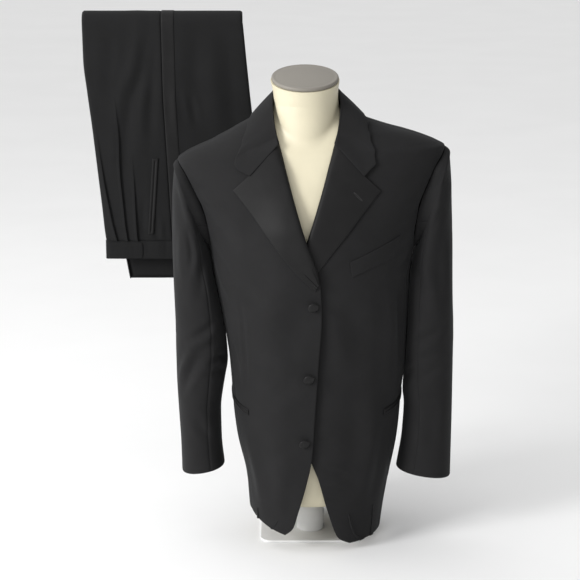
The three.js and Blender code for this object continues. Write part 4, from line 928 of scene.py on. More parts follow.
def trouser_layer_grid(layer, rows):
    """One of the plies under the outer leg: from behind the waistband, over the rail, to its hem."""
    inset, hem = LAYERS[layer]
    start = np.linspace(WAIST_Z + 3, trouser_z(0) - 3, 9)
    row = np.concatenate([0 * start, rows])
    z = np.concatenate([start, trouser_z(rows)])
    far = trouser_turn(row) == 180
    z = np.where(far, RAIL_Z - (RAIL_Z - z) * (RAIL_Z - hem) / (RAIL_Z - trouser_z(LAST_ROW)), z)
    share = clustered(0, PLY_WIDTH, FREE_EDGE, FREE_EDGE, PLY_STEP) / PLY_WIDTH
    row = np.tile(row[:, None], (1, len(share)))
    z = np.tile(z[:, None], (1, len(share)))
    x = mix(front_x(row) + inset, back_x(row) - inset, share[None, :])
    out = RAIL_GAP + (HIDDEN_LAYERS + fullness(row)) * (layer + 1) / len(LAYERS)
    return on_fold(x, out - trouser_depth(x, row) * PLY_CREASES_SHARE, row, z), row


def waist_sink(x):
    return sum(depth * np.exp(-(((x - place) / width) ** 2)) for place, width, depth in GATHERS)


# the waistband's turned ends: place in the grid, share of the length, inset of the face
WAISTBAND_ENDS = [(0, 0.008, 6.0), (0.02, 0.0, 3.0), (0.045, 0.015, 0.5), (0.075, 0.05, 0.0),
                  (0.925, 0.95, 0.0), (0.955, 0.985, 0.5), (0.98, 1.0, 3.0), (1, 0.992, 6.0)]
CORNER_WIDTH, CORNER_RISE = 9.0, 2.2


def waistband_grid():
    """The waistband, with its turned ends, a rolled rim and the small gathers in it."""
    heights = WAIST_Z + clustered(0, WAISTBAND_TOP - WAIST_Z, FREE_EDGE, SEAM_EDGE, 3.0)
    places, shares, insets = np.array(WAISTBAND_ENDS).T
    fine = np.linspace(0, 1, 96)
    share, inset = np.interp(fine, places, shares), np.interp(fine, places, insets)
    x = np.tile(mix(WAISTBAND_FRONT, WAISTBAND_BACK, share)[None, :], (len(heights), 1))
    z = np.tile(heights[:, None], (1, len(share)))
    at_corner = np.exp(-(((x - WAISTBAND_FRONT) / CORNER_WIDTH) ** 2))
    z = z + CORNER_RISE * at_corner * smooth(z, WAIST_Z + 10, WAISTBAND_TOP)
    face = float(outer_face(0)) + 1 - inset[None, :]
    rim = np.exp(-(((WAISTBAND_TOP - z) / 2.0) ** 2)) + 0.4 * np.exp(-(((z - WAIST_Z) / 1.2) ** 2))
    fade = smooth(z, WAIST_Z - 10, WAISTBAND_TOP)
    return on_fold(x, face - waist_sink(x) * fade - rim, 0 * x, z)


def flat_patch(x_of, z_of, face, width, height, step=2.6):
    """A patch on the near run of the trousers; the functions give x and z for two shares."""
    across = clustered(0, width, FREE_EDGE, FREE_EDGE, step) / width
    along = clustered(0, height, FREE_EDGE, FREE_EDGE, step) / height
    u, v = np.meshgrid(across, along)
    x, z = x_of(u, v), z_of(u, v)
    return on_fold(x, face(u, v, x, z), 0 * x, z)


def row_at(z):
    """The row of the near run at this height."""
    heights = [r[0] for r in TROUSERS[:NEAR_ROWS]]
    fine = np.linspace(0, NEAR_ROWS - 1, 400)
    return np.interp(np.maximum(z, heights[0]), trouser_z(fine), fine)


def stripe_grid(rows):
    share = np.array([0, 0.03, 0.08, 0.2, 0.4, 0.6, 0.8, 0.92, 0.97, 1])
    row = np.tile(rows[:, None], (1, len(share)))
    x = seam_x(row) + STRIPE_WIDTH * share[None, :] + 1
    edge = PATCH_ROLL * np.exp(-((np.minimum(share, 1 - share) * STRIPE_WIDTH / PATCH_REACH) ** 2))
    return on_fold(x, outer_face(row) + STRIPE_FACE - edge[None, :] - trouser_depth(x, row), row), row


def patch_on_front(corners, across, along, face):
    """A four-cornered patch on the wearer's left front: corners by x and z, top then bottom."""
    (top_a, top_b), (low_a, low_b) = corners
    u, v = np.meshgrid(across, along)
    x = mix(mix(top_a[0], top_b[0], u), mix(low_a[0], low_b[0], u), v)
    z = mix(mix(top_a[1], top_b[1], u), mix(low_a[1], low_b[1], u), v)
    angle = angle_of(x, z)
    return on_body(angle, z, face(u, v) - on_cloth(angle, z, FRONT_LEFT_CREASES))


def hip_pocket_grid(side):
    """The two lips of a jetted pocket with the slit between them."""
    level = np.concatenate([[6.0, 5.7, 5.1, 4.2], np.linspace(3.4, -3.4, 17), [-4.2, -5.1, -5.7, -6.0]])
    angle = np.linspace(HIP_FROM[0], HIP_TO[0], 60)
    angle = np.concatenate([[angle[0], angle[0] + 0.15, angle[0] + 0.4], angle[1:-1],
                            [angle[-1] - 0.4, angle[-1] - 0.15, angle[-1]]])
    a, level = np.meshgrid(angle, level)
    z = mix(HIP_FROM[1], HIP_TO[1], (a - HIP_FROM[0]) / (HIP_TO[0] - HIP_FROM[0])) + level
    reach = HIP_LIP + HIP_SLIT / 2
    ends = np.minimum(a - HIP_FROM[0], HIP_TO[0] - a) * MM_PER_DEGREE
    slit = 1.3 * np.exp(-((level / (HIP_SLIT * 0.7)) ** 2)) * smooth(ends, 3, 7)
    edge = 0.7 * (np.abs(level) / reach) ** 7 + 0.5 * np.exp(-((ends / 0.7) ** 2))
    creases = (FRONT_RIGHT_CREASES if side == RIGHT else FRONT_LEFT_CREASES)
    sink = on_cloth(side * a, z, creases) + on_cloth(a, z, SIDE_CREASES)
    return on_body(side * a, z, PATCH_FACE - slit - edge - 0.6 * sink)


def sleeve_points(side, from_turn, to_turn, settings):
    surface, places, outward_of = sleeve_surface(side, from_turn, to_turn)
    edges = ("seam", "seam", "seam", "free")
    u, v = cloth_grid(surface, *PANEL_STEPS, edges)
    points, outward = surface(u, v), outward_of(u, v)
    turn = places(u, v)[1]
    creases = SLEEVE_RIGHT_CREASES if side == RIGHT else SLEEVE_LEFT_CREASES
    scaled = scaled_across(creases, MM_PER_TURN)
    depth = sum(crease_field((turn - whole) * MM_PER_TURN, points[..., 2], scaled) for whole in (0, 360))
    depth = depth * settings.crease_strength * SLEEVE_CREASES_SHARE
    depth = depth + edge_depth(points, edges, settings.seam_depth / MM, PANEL_ROLL)
    from_top = np.zeros(points.shape[:2])
    from_top[1:] = np.cumsum(np.linalg.norm(np.diff(points, axis=0), axis=2), axis=0)
    crown = 0.5 + 0.5 * np.cos(np.radians(turn))
    depth = depth - CROWN_HEIGHT * crown * np.exp(-(((from_top - CROWN_PLACE) / CROWN_WIDTH) ** 2))
    return points - normals_of(points, outward) * depth[..., None], outward


COLLAR_HALF, COLLAR_FALL = 250, 70  # length of half the collar and of its fall


def collar_points():
    """The whole collar, from the wearer's right end round the neck to the left one."""
    rows = clustered(0, COLLAR_HALF, FREE_EDGE, (0.0,), 3.0) / COLLAR_HALF * (len(COLLAR) - 1)
    fall = clustered(0, COLLAR_FALL, (0.0, 0.6, 1.4, 2.4, 3.6, 5.0), FREE_EDGE, 3.0) / COLLAR_FALL
    over = -np.array([1, 0.98, 0.94, 0.88, 0.8, 0.7, 0.6, 0.5, 0.4, 0.32, 0.25, 0.21, 0.17, 0.13, 0.09,
                      0.045])
    downs = np.concatenate([over, fall])
    right, left = (collar_half(side, rows, downs) for side in (RIGHT, LEFT))
    return np.concatenate([right, left[::-1][1:]])


def lofted(name, rings):
    """A closed skin through rings of points, in millimetres, with flat ends."""
    count = len(rings[0])
    edit = bmesh.new()
    corners = [[edit.verts.new(p * MM) for p in ring] for ring in rings]
    for lower, upper in zip(corners, corners[1:]):
        for i in range(count):
            j = (i + 1) % count
            edit.faces.new((lower[i], lower[j], upper[j], upper[i]))
    edit.faces.new(corners[0][::-1])
    edit.faces.new(corners[-1])
    bmesh.ops.recalc_face_normals(edit, faces=edit.faces[:])
    mesh = bpy.data.meshes.new(name)
    edit.to_mesh(mesh)
    edit.free()
    piece = linked(name, mesh)
    bpy.ops.object.shade_smooth_by_angle(angle=math.radians(35))
    return piece


def turned(name, profile, steps, place):
    """A profile of radii and heights, in millimetres, spun about its axis and then put in place."""
    mesh = bpy.data.meshes.new(name)
    points = [(r * MM, 0, h * MM) for r, h in profile]
    mesh.from_pydata(points, [(i, i + 1) for i in range(len(points) - 1)], [])
    piece = linked(name, mesh)
    bpy.ops.object.mode_set(mode="EDIT")
    bpy.ops.mesh.select_all(action="SELECT")
    bpy.ops.mesh.spin(steps=steps, angle=2 * math.pi, center=(0, 0, 0), axis=(0, 0, 1))
    bpy.ops.mesh.select_all(action="SELECT")
    bpy.ops.mesh.remove_doubles(threshold=1e-6)
    bpy.ops.mesh.normals_make_consistent(inside=False)
    bpy.ops.object.mode_set(mode="OBJECT")
    bpy.ops.object.shade_smooth_by_angle(angle=math.radians(50))
    mesh.transform(place)
    return piece


FORM_POINTS = 120
turn_round = np.linspace(0, 2 * math.pi, FORM_POINTS, endpoint=False)
form_sizes = [curve([r[0] for r in FORM], [r[k] for r in FORM]) for k in (1, 2, 3, 4)]
FORM_FOOT = ((60, 0), (14, 0), (7, 0.6), (3, 2.2), (1, 4.6))  # inset and height of its rounded rim
FORM_HEIGHTS = np.concatenate([np.linspace(FORM[0][0] + 8, 700, 84), np.linspace(706, FORM[-1][0], 62)])
NECK_FLARE = 1.6


def soft_min(a, b, soft):
    share = np.clip(0.5 + (b - a) / (2 * soft), 0, 1)
    return mix(b, a, share) - soft * share * (1 - share)


def reach_in_jacket(z, along_x, along_y):
    """How far from the neck's axis the inner side of the jacket is in each direction."""
    near, far = np.zeros(len(along_x)), np.full(len(along_x), 300.0)
    for _ in range(16):
        middle = (near + far) / 2
        x, y = FORM_X + middle * along_x, FORM_Y + middle * along_y
        width, front, back, power = section(np.where(x < 0, -1, 1), z, -JACKET_WALL - FORM_CLEARANCE)
        inside = np.abs(x / width) ** power + np.abs(y / np.where(y < 0, front, back)) ** power < 1
        near, far = np.where(inside, middle, near), np.where(inside, far, middle)
    return near


def form_ring(z):
    """The form's level section, inside the jacket, with the round neck growing out of it."""
    right, left, front, back = (float(c(z)) for c in form_sizes)
    sine, cosine = np.sin(turn_round), np.cos(turn_round)
    width = np.where(sine < 0, right, left)
    x = np.sign(sine) * width * np.abs(sine) ** (2 / FORM_POWER) - FORM_X
    y = np.where(cosine > 0, -front, back) * np.abs(cosine) ** (2 / FORM_POWER) - FORM_Y
    own = np.hypot(x, y)
    shoulder = soft_min(own, reach_in_jacket(z, x / own, y / own), FORM_BLEND)
    share = -soft_min(-shoulder, -NECK_RADIUS, FORM_BLEND) / own
    return np.stack([FORM_X + x * share, FORM_Y + y * share, np.full(FORM_POINTS, z)], -1)


def form_rings():
    """The whole form: its rounded foot, the torso and the neck, which tilts toward its top."""
    rings = []
    for inset, up in FORM_FOOT:
        ring = form_ring(FORM[0][0] + up)
        middle = ring.mean(axis=0)
        away = ring - middle
        away[:, 2] = 0
        ring -= away / np.linalg.norm(away, axis=1, keepdims=True) * inset
        rings.append(ring)
    rings += [form_ring(z) for z in FORM_HEIGHTS]
    tilt = math.radians(NECK_TILT)
    sine, cosine = np.sin(turn_round), np.cos(turn_round)
    start = rings[-1]
    for share in np.linspace(0.08, 1, 12):
        radius = mix(NECK_RADIUS, NECK_TOP_RADIUS, share ** NECK_FLARE)
        y = -radius * cosine
        top = np.stack([mix(FORM_X, NECK_TOP_X, share) + radius * sine,
                        NECK_TOP_Y + y * math.cos(tilt * share),
                        mix(FORM[-1][0], NECK_TOP_Z, share) + y * math.sin(tilt * share)], -1)
        rings.append(mix(start, top, min(1, share * 2)))
    return rings


POST_RADIUS, POST_SIDES, POST_RINGS = 6.0, 32, 110
PLATE_TOP = 4.3
POST_PATH = [(-84, 262, PLATE_TOP), (-90, 262, 170), (-104, 251, 300), (-114, 240, 430), (-126, 240, 560),
             (-141, 240, 690), (-146, 240, 800), (-146, 240, 934.7)]


def post_rings():
    x, y, z = rows_of(POST_PATH)
    t = np.linspace(0, len(POST_PATH) - 1, POST_RINGS)
    path = np.stack([x(t), y(t), z(t)], -1)
    along = np.gradient(path, axis=0)
    along /= np.linalg.norm(along, axis=1, keepdims=True)
    rings = []
    for point, axis in zip(path, along):
        side = np.cross(axis, (0, 1, 0))
        side /= np.linalg.norm(side)
        other = np.cross(axis, side)
        turn = np.linspace(0, 2 * math.pi, POST_SIDES, endpoint=False)[:, None]
        rings.append(point + POST_RADIUS * (np.cos(turn) * side + np.sin(turn) * other))
    return rings


# Finishes
def new_finish(name):
    finish = bpy.data.materials.new(name)
    finish.use_nodes = True
    tree = finish.node_tree
    return finish, tree, tree.nodes["Principled BSDF"]


def texture(tree, kind, coordinates, scale, **values):
    node = tree.nodes.new(kind)
    node.inputs["Scale"].default_value = scale
    for key, value in values.items():
        node.inputs[key.replace("_", " ")].default_value = value
    tree.links.new(coordinates, node.inputs["Vector"])
    return node


def shaded(tree, shader, factor, colour, *stops):
    """Colours the surface by the factor, between two stops: place, share of the colour."""
    ramp = tree.nodes.new("ShaderNodeValToRGB")
    for element, (place, share) in zip(ramp.color_ramp.elements, stops):
        element.position = place
        element.color = (*(c * share for c in colour), 1)
    tree.links.new(factor, ramp.inputs["Fac"])
    tree.links.new(ramp.outputs["Color"], shader.inputs["Base Color"])


def ranged(tree, factor, low, high, socket):
    scale = tree.nodes.new("ShaderNodeMapRange")
    scale.inputs["To Min"].default_value = low
    scale.inputs["To Max"].default_value = high
    tree.links.new(factor, scale.inputs["Value"])
    tree.links.new(scale.outputs["Result"], socket)


def relief(tree, shader, layers):
    """Bumps one over another: (height, strength, distance in metres)."""
    before = None
    for height, strength, distance in layers:
        bump = tree.nodes.new("ShaderNodeBump")
        bump.inputs["Strength"].default_value = strength
        bump.inputs["Distance"].default_value = distance
        tree.links.new(height, bump.inputs["Height"])
        if before:
            tree.links.new(before.outputs["Normal"], bump.inputs["Normal"])
        before = bump
    tree.links.new(before.outputs["Normal"], shader.inputs["Normal"])


def cloth_coordinates(tree):
    place = tree.nodes.new("ShaderNodeUVMap")
    place.uv_map = "cloth"
    return place.outputs["UV"]


def object_coordinates(tree):
    return tree.nodes.new("ShaderNodeTexCoord").outputs["Object"]


def turned_coordinates(tree, coordinates, degrees, stretch=(1, 1, 1)):
    mapping = tree.nodes.new("ShaderNodeMapping")
    mapping.inputs["Rotation"].default_value = (0, 0, math.radians(degrees))
    mapping.inputs["Scale"].default_value = stretch
    tree.links.new(coordinates, mapping.inputs["Vector"])
    return mapping.outputs["Vector"]


WAVE_PERIOD = 2 * math.pi / 20  # of the wave texture, at a scale of 1
TWILL_ANGLE = 58


def wool(name, colour, twill, sheen):
    """Worsted wool: a fine diagonal rib, slubs along the yarn and faint patches of tone."""
    finish, tree, shader = new_finish(name)
    cloth = cloth_coordinates(tree)
    patches = texture(tree, "ShaderNodeTexNoise", cloth, 14, Detail=3, Roughness=0.6)
    yarn = turned_coordinates(tree, cloth, 0, (1, 0.12, 1))
    slubs = texture(tree, "ShaderNodeTexNoise", yarn, 900, Detail=2)
    diagonal = turned_coordinates(tree, cloth, TWILL_ANGLE)
    rib = texture(tree, "ShaderNodeTexWave", diagonal, WAVE_PERIOD / twill, Distortion=0.6, Detail=1,
                  Detail_Scale=2)
    blend = tree.nodes.new("ShaderNodeMath")
    blend.operation = "MULTIPLY_ADD"
    blend.inputs[1].default_value = 0.35
    tree.links.new(slubs.outputs["Fac"], blend.inputs[0])
    tree.links.new(patches.outputs["Fac"], blend.inputs[2])
    shaded(tree, shader, blend.outputs["Value"], colour, (0.45, 0.8), (0.9, 1.2))
    ranged(tree, patches.outputs["Fac"], 0.78, 0.9, shader.inputs["Roughness"])
    shader.inputs["Sheen Weight"].default_value = sheen
    shader.inputs["Sheen Roughness"].default_value = 0.45
    shader.inputs["Sheen Tint"].default_value = (0.75, 0.78, 0.8, 1)
    shader.inputs["Specular IOR Level"].default_value = 0.2
    relief(tree, shader, [(patches.outputs["Fac"], 0.25, 0.0012), (slubs.outputs["Fac"], 0.25, 0.0002),
                          (rib.outputs["Fac"], 0.3, 0.00015)])
    return finish


def satin(name, colour, roughness, gloss):
    """Dull satin: smooth, with fine long floats across it and a soft broken gloss."""
    finish, tree, shader = new_finish(name)
    cloth = cloth_coordinates(tree)
    patches = texture(tree, "ShaderNodeTexNoise", cloth, 22, Detail=3, Roughness=0.55)
    across = turned_coordinates(tree, cloth, 35, (0.08, 1, 1))
    floats = texture(tree, "ShaderNodeTexNoise", across, 1400, Detail=2)
    shaded(tree, shader, patches.outputs["Fac"], colour, (0.3, 0.85), (0.7, 1.15))
    ranged(tree, floats.outputs["Fac"], roughness - 0.05, roughness + 0.07, shader.inputs["Roughness"])
    shader.inputs["Specular IOR Level"].default_value = gloss
    shader.inputs["Sheen Weight"].default_value = 0.02
    shader.inputs["Sheen Roughness"].default_value = 0.35
    relief(tree, shader, [(patches.outputs["Fac"], 0.3, 0.001), (floats.outputs["Fac"], 0.25, 0.0001)])
    return finish


def painted(name, colour, roughness, grain, depth):
    """Painted shell: faint patches of tone, a fine orange-peel surface and scuffed gloss."""
    finish, tree, shader = new_finish(name)
    place = object_coordinates(tree)
    patches = texture(tree, "ShaderNodeTexNoise", place, 9, Detail=4, Roughness=0.6)
    peel = texture(tree, "ShaderNodeTexNoise", place, grain, Detail=2)
    shaded(tree, shader, patches.outputs["Fac"], colour, (0.3, 0.94), (0.7, 1.04))
    ranged(tree, patches.outputs["Fac"], roughness - 0.06, roughness + 0.08, shader.inputs["Roughness"])
    shader.inputs["Coat Weight"].default_value = 0.12
    shader.inputs["Coat Roughness"].default_value = 0.35
    relief(tree, shader, [(peel.outputs["Fac"], 0.3, depth)])
    return finish


def powder_coat(name, colour):
    """Pale powder coat on steel: a fine pebbled surface, a little duller in patches."""
    finish, tree, shader = new_finish(name)
    place = object_coordinates(tree)
    pebbles = texture(tree, "ShaderNodeTexNoise", place, 1100, Detail=2)
    patches = texture(tree, "ShaderNodeTexNoise", place, 18, Detail=3)
    shaded(tree, shader, patches.outputs["Fac"], colour, (0.35, 0.95), (0.65, 1.03))
    ranged(tree, patches.outputs["Fac"], 0.5, 0.62, shader.inputs["Roughness"])
    relief(tree, shader, [(pebbles.outputs["Fac"], 0.3, 0.0002)])
    return finish


def finish_named(kind):
    """A finish by its name, made when it is first needed."""
    name = f"{kind}_finish"
    made = bpy.data.materials.get(name)
    if made:
        return made
    colours = bpy.context.scene.tuxedo_colours
    sizes = bpy.context.scene.tuxedo_cloth
    makers = {
        "jacket_wool": lambda: wool(name, colours.jacket, sizes.twill, 0.05),
        "trouser_wool": lambda: wool(name, colours.trousers, sizes.twill, 0.04),
        "satin": lambda: satin(name, colours.satin, 0.56, 0.17),
        "form_shell": lambda: painted(name, colours.form, 0.5, 420, 0.0003),
        "neck_cap": lambda: painted(name, colours.neck_cap, 0.55, 300, 0.0004),
        "thread": lambda: painted(name, [c * 1.8 for c in colours.satin], 0.6, 2500, 0.0001),
        "button_satin": lambda: satin(name, colours.satin, 0.36, 0.2),
        "stand_steel": lambda: powder_coat(name, colours.steel),
    }
    return makers[kind]()


class TuxedoCloth(bpy.types.PropertyGroup):
    jacket_wall: FloatProperty(name="Jacket cloth", description="Thickness of the faced wool of the jacket",
                               default=0.0016, min=0.0008, max=0.003, unit="LENGTH")
    trouser_wall: FloatProperty(name="Trouser cloth", description="Thickness of the wool of the trousers",
                                default=0.0012, min=0.0006, max=0.002, unit="LENGTH")
    satin_wall: FloatProperty(name="Satin", description="Thickness of the satin trims",
                              default=0.0009, min=0.0004, max=0.002, unit="LENGTH")
    seam_depth: FloatProperty(name="Seam ditch", description="How far the cloth sinks at a sewn seam",
                              default=0.0009, min=0.0, max=0.002, unit="LENGTH")
    crease_strength: FloatProperty(name="Creases", description="Share of the drawn depth of the creases",
                                   default=1.4, min=0.0, max=2.0, subtype="FACTOR")
    twill: FloatProperty(name="Twill", description="Distance between two ribs of the wool's weave",
                         default=0.0009, min=0.0003, max=0.003, unit="LENGTH")


def colour_property(name, description, default):
    return FloatVectorProperty(name=name, description=description, default=default, size=3, min=0, max=1,
                               subtype="COLOR")


class TuxedoColours(bpy.types.PropertyGroup):
    jacket: colour_property("Jacket wool", "Colour of the jacket's wool", (0.0105, 0.0103, 0.0107))
    trousers: colour_property("Trouser wool", "Colour of the trousers' wool", (0.0078, 0.0078, 0.0081))
    satin: colour_property("Satin", "Colour of the lapels, buttons and trims", (0.008, 0.0078, 0.008))
    form: colour_property("Form", "Colour of the dress form's shell", (0.62, 0.57, 0.42))
    neck_cap: colour_property("Neck cap", "Colour of the cap on the form's neck", (0.20, 0.185, 0.16))
    steel: colour_property("Steel", "Colour of the foot, stem, post and rail", (0.74, 0.74, 0.73))


class TuxedoStage(bpy.types.PropertyGroup):
    lens: FloatProperty(name="Lens", description="Focal length of the camera", default=0.1174,
                        min=0.02, max=0.3, unit="CAMERA")
    camera_height: FloatProperty(name="Camera height", description="Height of the camera above the floor",
                                 default=1.3823, min=0.0, max=3.0, unit="LENGTH")
    camera_distance: FloatProperty(name="Camera distance", description="Distance of the camera in front",
                                   default=3.3807, min=1.0, max=8.0, unit="LENGTH")
    camera_tilt: FloatProperty(name="Camera tilt", description="Angle of the camera from straight down",
                               default=math.radians(75), min=0.0, max=3.1, unit="ROTATION")
    key_power: FloatProperty(name="Key light", description="Power of the light at the front left",
                             default=120.0, min=0.0, max=1000.0, unit="POWER")
    top_power: FloatProperty(name="Top light", description="Power of the light above",
                             default=12.0, min=0.0, max=1000.0, unit="POWER")
    world_strength: FloatProperty(name="Surrounding light", description="Strength of the light all round",
                                  default=0.8, min=0.0, max=3.0, subtype="FACTOR")


def cloth_sizes(context):
    return context.scene.tuxedo_cloth


FORM_PIECE = "form_shell_smooth"
RAIL_NODE = "rail"


def sew_panel(part, side, surface_of, creases, first_edge, sizes):
    """A body panel of the jacket, from its front edge to its back one, draped on the form."""
    surface, places = surface_of(side)
    edges = (first_edge, "seam", "free", "seam")
    points, outward = jacket_panel(surface, places, creases, edges, sizes)
    name = f"{part}_{SIDE_NAMES[side]}"
    sew(f"{name}_cloth", points, outward, sizes.jacket_wall / MM, "jacket_wool", [name])


class TUXEDO_OT_form(bpy.types.Operator):
    """Make the smooth shell of the dress form."""
    bl_idname = "tuxedo.form"
    bl_label = "Dress form"

    def execute(self, context):
        finish_piece(lofted(FORM_PIECE, form_rings()), "form_shell", "form_torso")
        return {"FINISHED"}


class TUXEDO_OT_neck_cap(bpy.types.Operator):
    """Make the cap on the form's neck, with a rounded rim and a slightly crowned top."""
    bl_idname = "tuxedo.neck_cap"
    bl_label = "Neck cap"

    def execute(self, context):
        radius, height = CAP_RADIUS, CAP_THICKNESS
        profile = [(0, 0), (radius - 3, 0), (radius - 1.2, 0.3), (radius - 0.3, 1.2), (radius, 2.4),
                   (radius, height - 2.6), (radius - 0.3, height - 1.5), (radius - 1.1, height - 0.6),
                   (radius - 2.4, height - 0.1), (radius - 4, height), (radius - 6, height - 0.35),
                   (radius - 8, height - 0.1), (radius - 20, height + 0.5), (radius - 40, height + 0.9),
                   (0, height + 1)]
        place = (Matrix.Translation(Vector((NECK_TOP_X, NECK_TOP_Y, NECK_TOP_Z + SEAM_GAP)) * MM)
                 @ Matrix.Rotation(math.radians(NECK_TILT), 4, "X"))
        finish_piece(turned("neck_cap_turned", profile, 96, place), "neck_cap", "form_neck_cap")
        return {"FINISHED"}


class TUXEDO_OT_stand(bpy.types.Operator):
    """Make the round post, and finish the steel foot and rail."""
    bl_idname = "tuxedo.stand"
    bl_label = "Foot, post and rail"

    def execute(self, context):
        finish_piece(lofted("post_round", post_rings()), "stand_steel", "post")
        low, high = PLATE_TOP, FORM[0][0] - SEAM_GAP
        profile = [(0, low), (STEM_RADIUS - 1, low), (STEM_RADIUS, low + 1), (STEM_RADIUS, high - 1),
                   (STEM_RADIUS - 1, high), (0, high)]
        place = Matrix.Translation((0, STEM_Y * MM, 0))
        finish_piece(turned("stem_round", profile, 64, place), "stand_steel", "form_stem")
        for node in ("foot_plate", RAIL_NODE):
            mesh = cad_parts[node].data
            mesh.materials.clear()
            mesh.materials.append(finish_named("stand_steel"))
        return {"FINISHED"}


class TUXEDO_OT_fronts(bpy.types.Operator):
    """Make the two fronts of the jacket with their rounded cutaway hems."""
    bl_idname = "tuxedo.fronts"
    bl_label = "Fronts"

    def execute(self, context):
        sizes = cloth_sizes(context)
        for side, creases in ((RIGHT, FRONT_RIGHT_CREASES), (LEFT, FRONT_LEFT_CREASES)):
            sew_panel("front", side, front_surface, creases, "free", sizes)
        return {"FINISHED"}


class TUXEDO_OT_side_bodies(bpy.types.Operator):
    """Make the two side bodies under the arms."""
    bl_idname = "tuxedo.side_bodies"
    bl_label = "Side bodies"

    def execute(self, context):
        sizes = cloth_sizes(context)
        for side in (RIGHT, LEFT):
            sew_panel("side", side, side_surface, SIDE_CREASES, "seam", sizes)
        return {"FINISHED"}


class TUXEDO_OT_backs(bpy.types.Operator):
    """Make the two backs, joined at the centre seam."""
    bl_idname = "tuxedo.backs"
    bl_label = "Backs"

    def execute(self, context):
        sizes = cloth_sizes(context)
        for side in (RIGHT, LEFT):
            sew_panel("back", side, back_surface, BACK_CREASES, "seam", sizes)
        return {"FINISHED"}


class TUXEDO_OT_lapels(bpy.types.Operator):
    """Make the two satin lapels, rolled over the front edge."""
    bl_idname = "tuxedo.lapels"
    bl_label = "Lapels"

    def execute(self, context):
        sizes = cloth_sizes(context)
        for side in (RIGHT, LEFT):
            surface = lapel_surface(side)
            u, v = cloth_grid(surface, *LAPEL_STEPS, ("free",) * 4)
            points = surface(u, v)
            outward = body_outward(points)
            sink = edge_depth(points, ("seam", "free", "free", "free"), 0, TRIM_ROLL)
            points = points - normals_of(points, outward) * sink[..., None]
            name = f"lapel_{SIDE_NAMES[side]}"
            sew(f"{name}_satin", points, outward, sizes.satin_wall / MM, "satin", [name])
        return {"FINISHED"}


class TUXEDO_OT_collar(bpy.types.Operator):
    """Make the collar, folded over its stand, with a notch at each end."""
    bl_idname = "tuxedo.collar"
    bl_label = "Collar"

    def execute(self, context):
        sizes = cloth_sizes(context)
        points = collar_points()
        outward = points - np.array([NECK_X, 0, COLLAR_MIDDLE_Z])
        sink = edge_depth(points, ("free",) * 4, 0, TRIM_ROLL)
        points = points - normals_of(points, outward) * sink[..., None]
        sew("collar_cloth", points, outward, sizes.jacket_wall / MM, "jacket_wool", ["collar"])
        return {"FINISHED"}


class TUXEDO_OT_sleeves(bpy.types.Operator):
    """Make the upper and under sleeves, hanging with their bends and creases."""
    bl_idname = "tuxedo.sleeves"
    bl_label = "Sleeves"

    def execute(self, context):
        sizes = cloth_sizes(context)
        top, low = SLEEVE_SEAM - SLEEVE_GAP_ANGLE, SLEEVE_SEAM + SLEEVE_GAP_ANGLE
        for side in (RIGHT, LEFT):
            for part, turns in (("upper", (-top, top)), ("under", (low, 360 - low))):
                points, outward = sleeve_points(side, *turns, sizes)
                name = f"sleeve_{part}_{SIDE_NAMES[side]}"
                sew(f"{name}_cloth", points, outward, sizes.jacket_wall / MM, "jacket_wool", [name])
        return {"FINISHED"}


class TUXEDO_OT_pockets(bpy.types.Operator):
    """Make the breast welt and the two jetted hip pockets."""
    bl_idname = "tuxedo.pockets"
    bl_label = "Breast welt and hip pockets"

    def execute(self, context):
        sizes = cloth_sizes(context)
        across, along = (clustered(0, size, FREE_EDGE, FREE_EDGE, 2.4) / size for size in WELT_SIZE)

        def face(u, v):
            sides = (np.minimum(u, 1 - u) * WELT_SIZE[0], np.minimum(v, 1 - v) * WELT_SIZE[1])
            return PATCH_FACE - sum(PATCH_ROLL * np.exp(-((gap / PATCH_REACH) ** 2)) for gap in sides)

        points = patch_on_front((WELT_TOP, WELT_BOTTOM), across, along, face)
        sew("breast_welt_cloth", points, body_outward(points), WELT_WALL, "jacket_wool", ["breast_welt"])
        for side in (RIGHT, LEFT):
            points = hip_pocket_grid(side)
            name = f"hip_pocket_{SIDE_NAMES[side]}"
            sew(f"{name}_satin", points, body_outward(points), sizes.satin_wall / MM, "satin", [name])
        return {"FINISHED"}


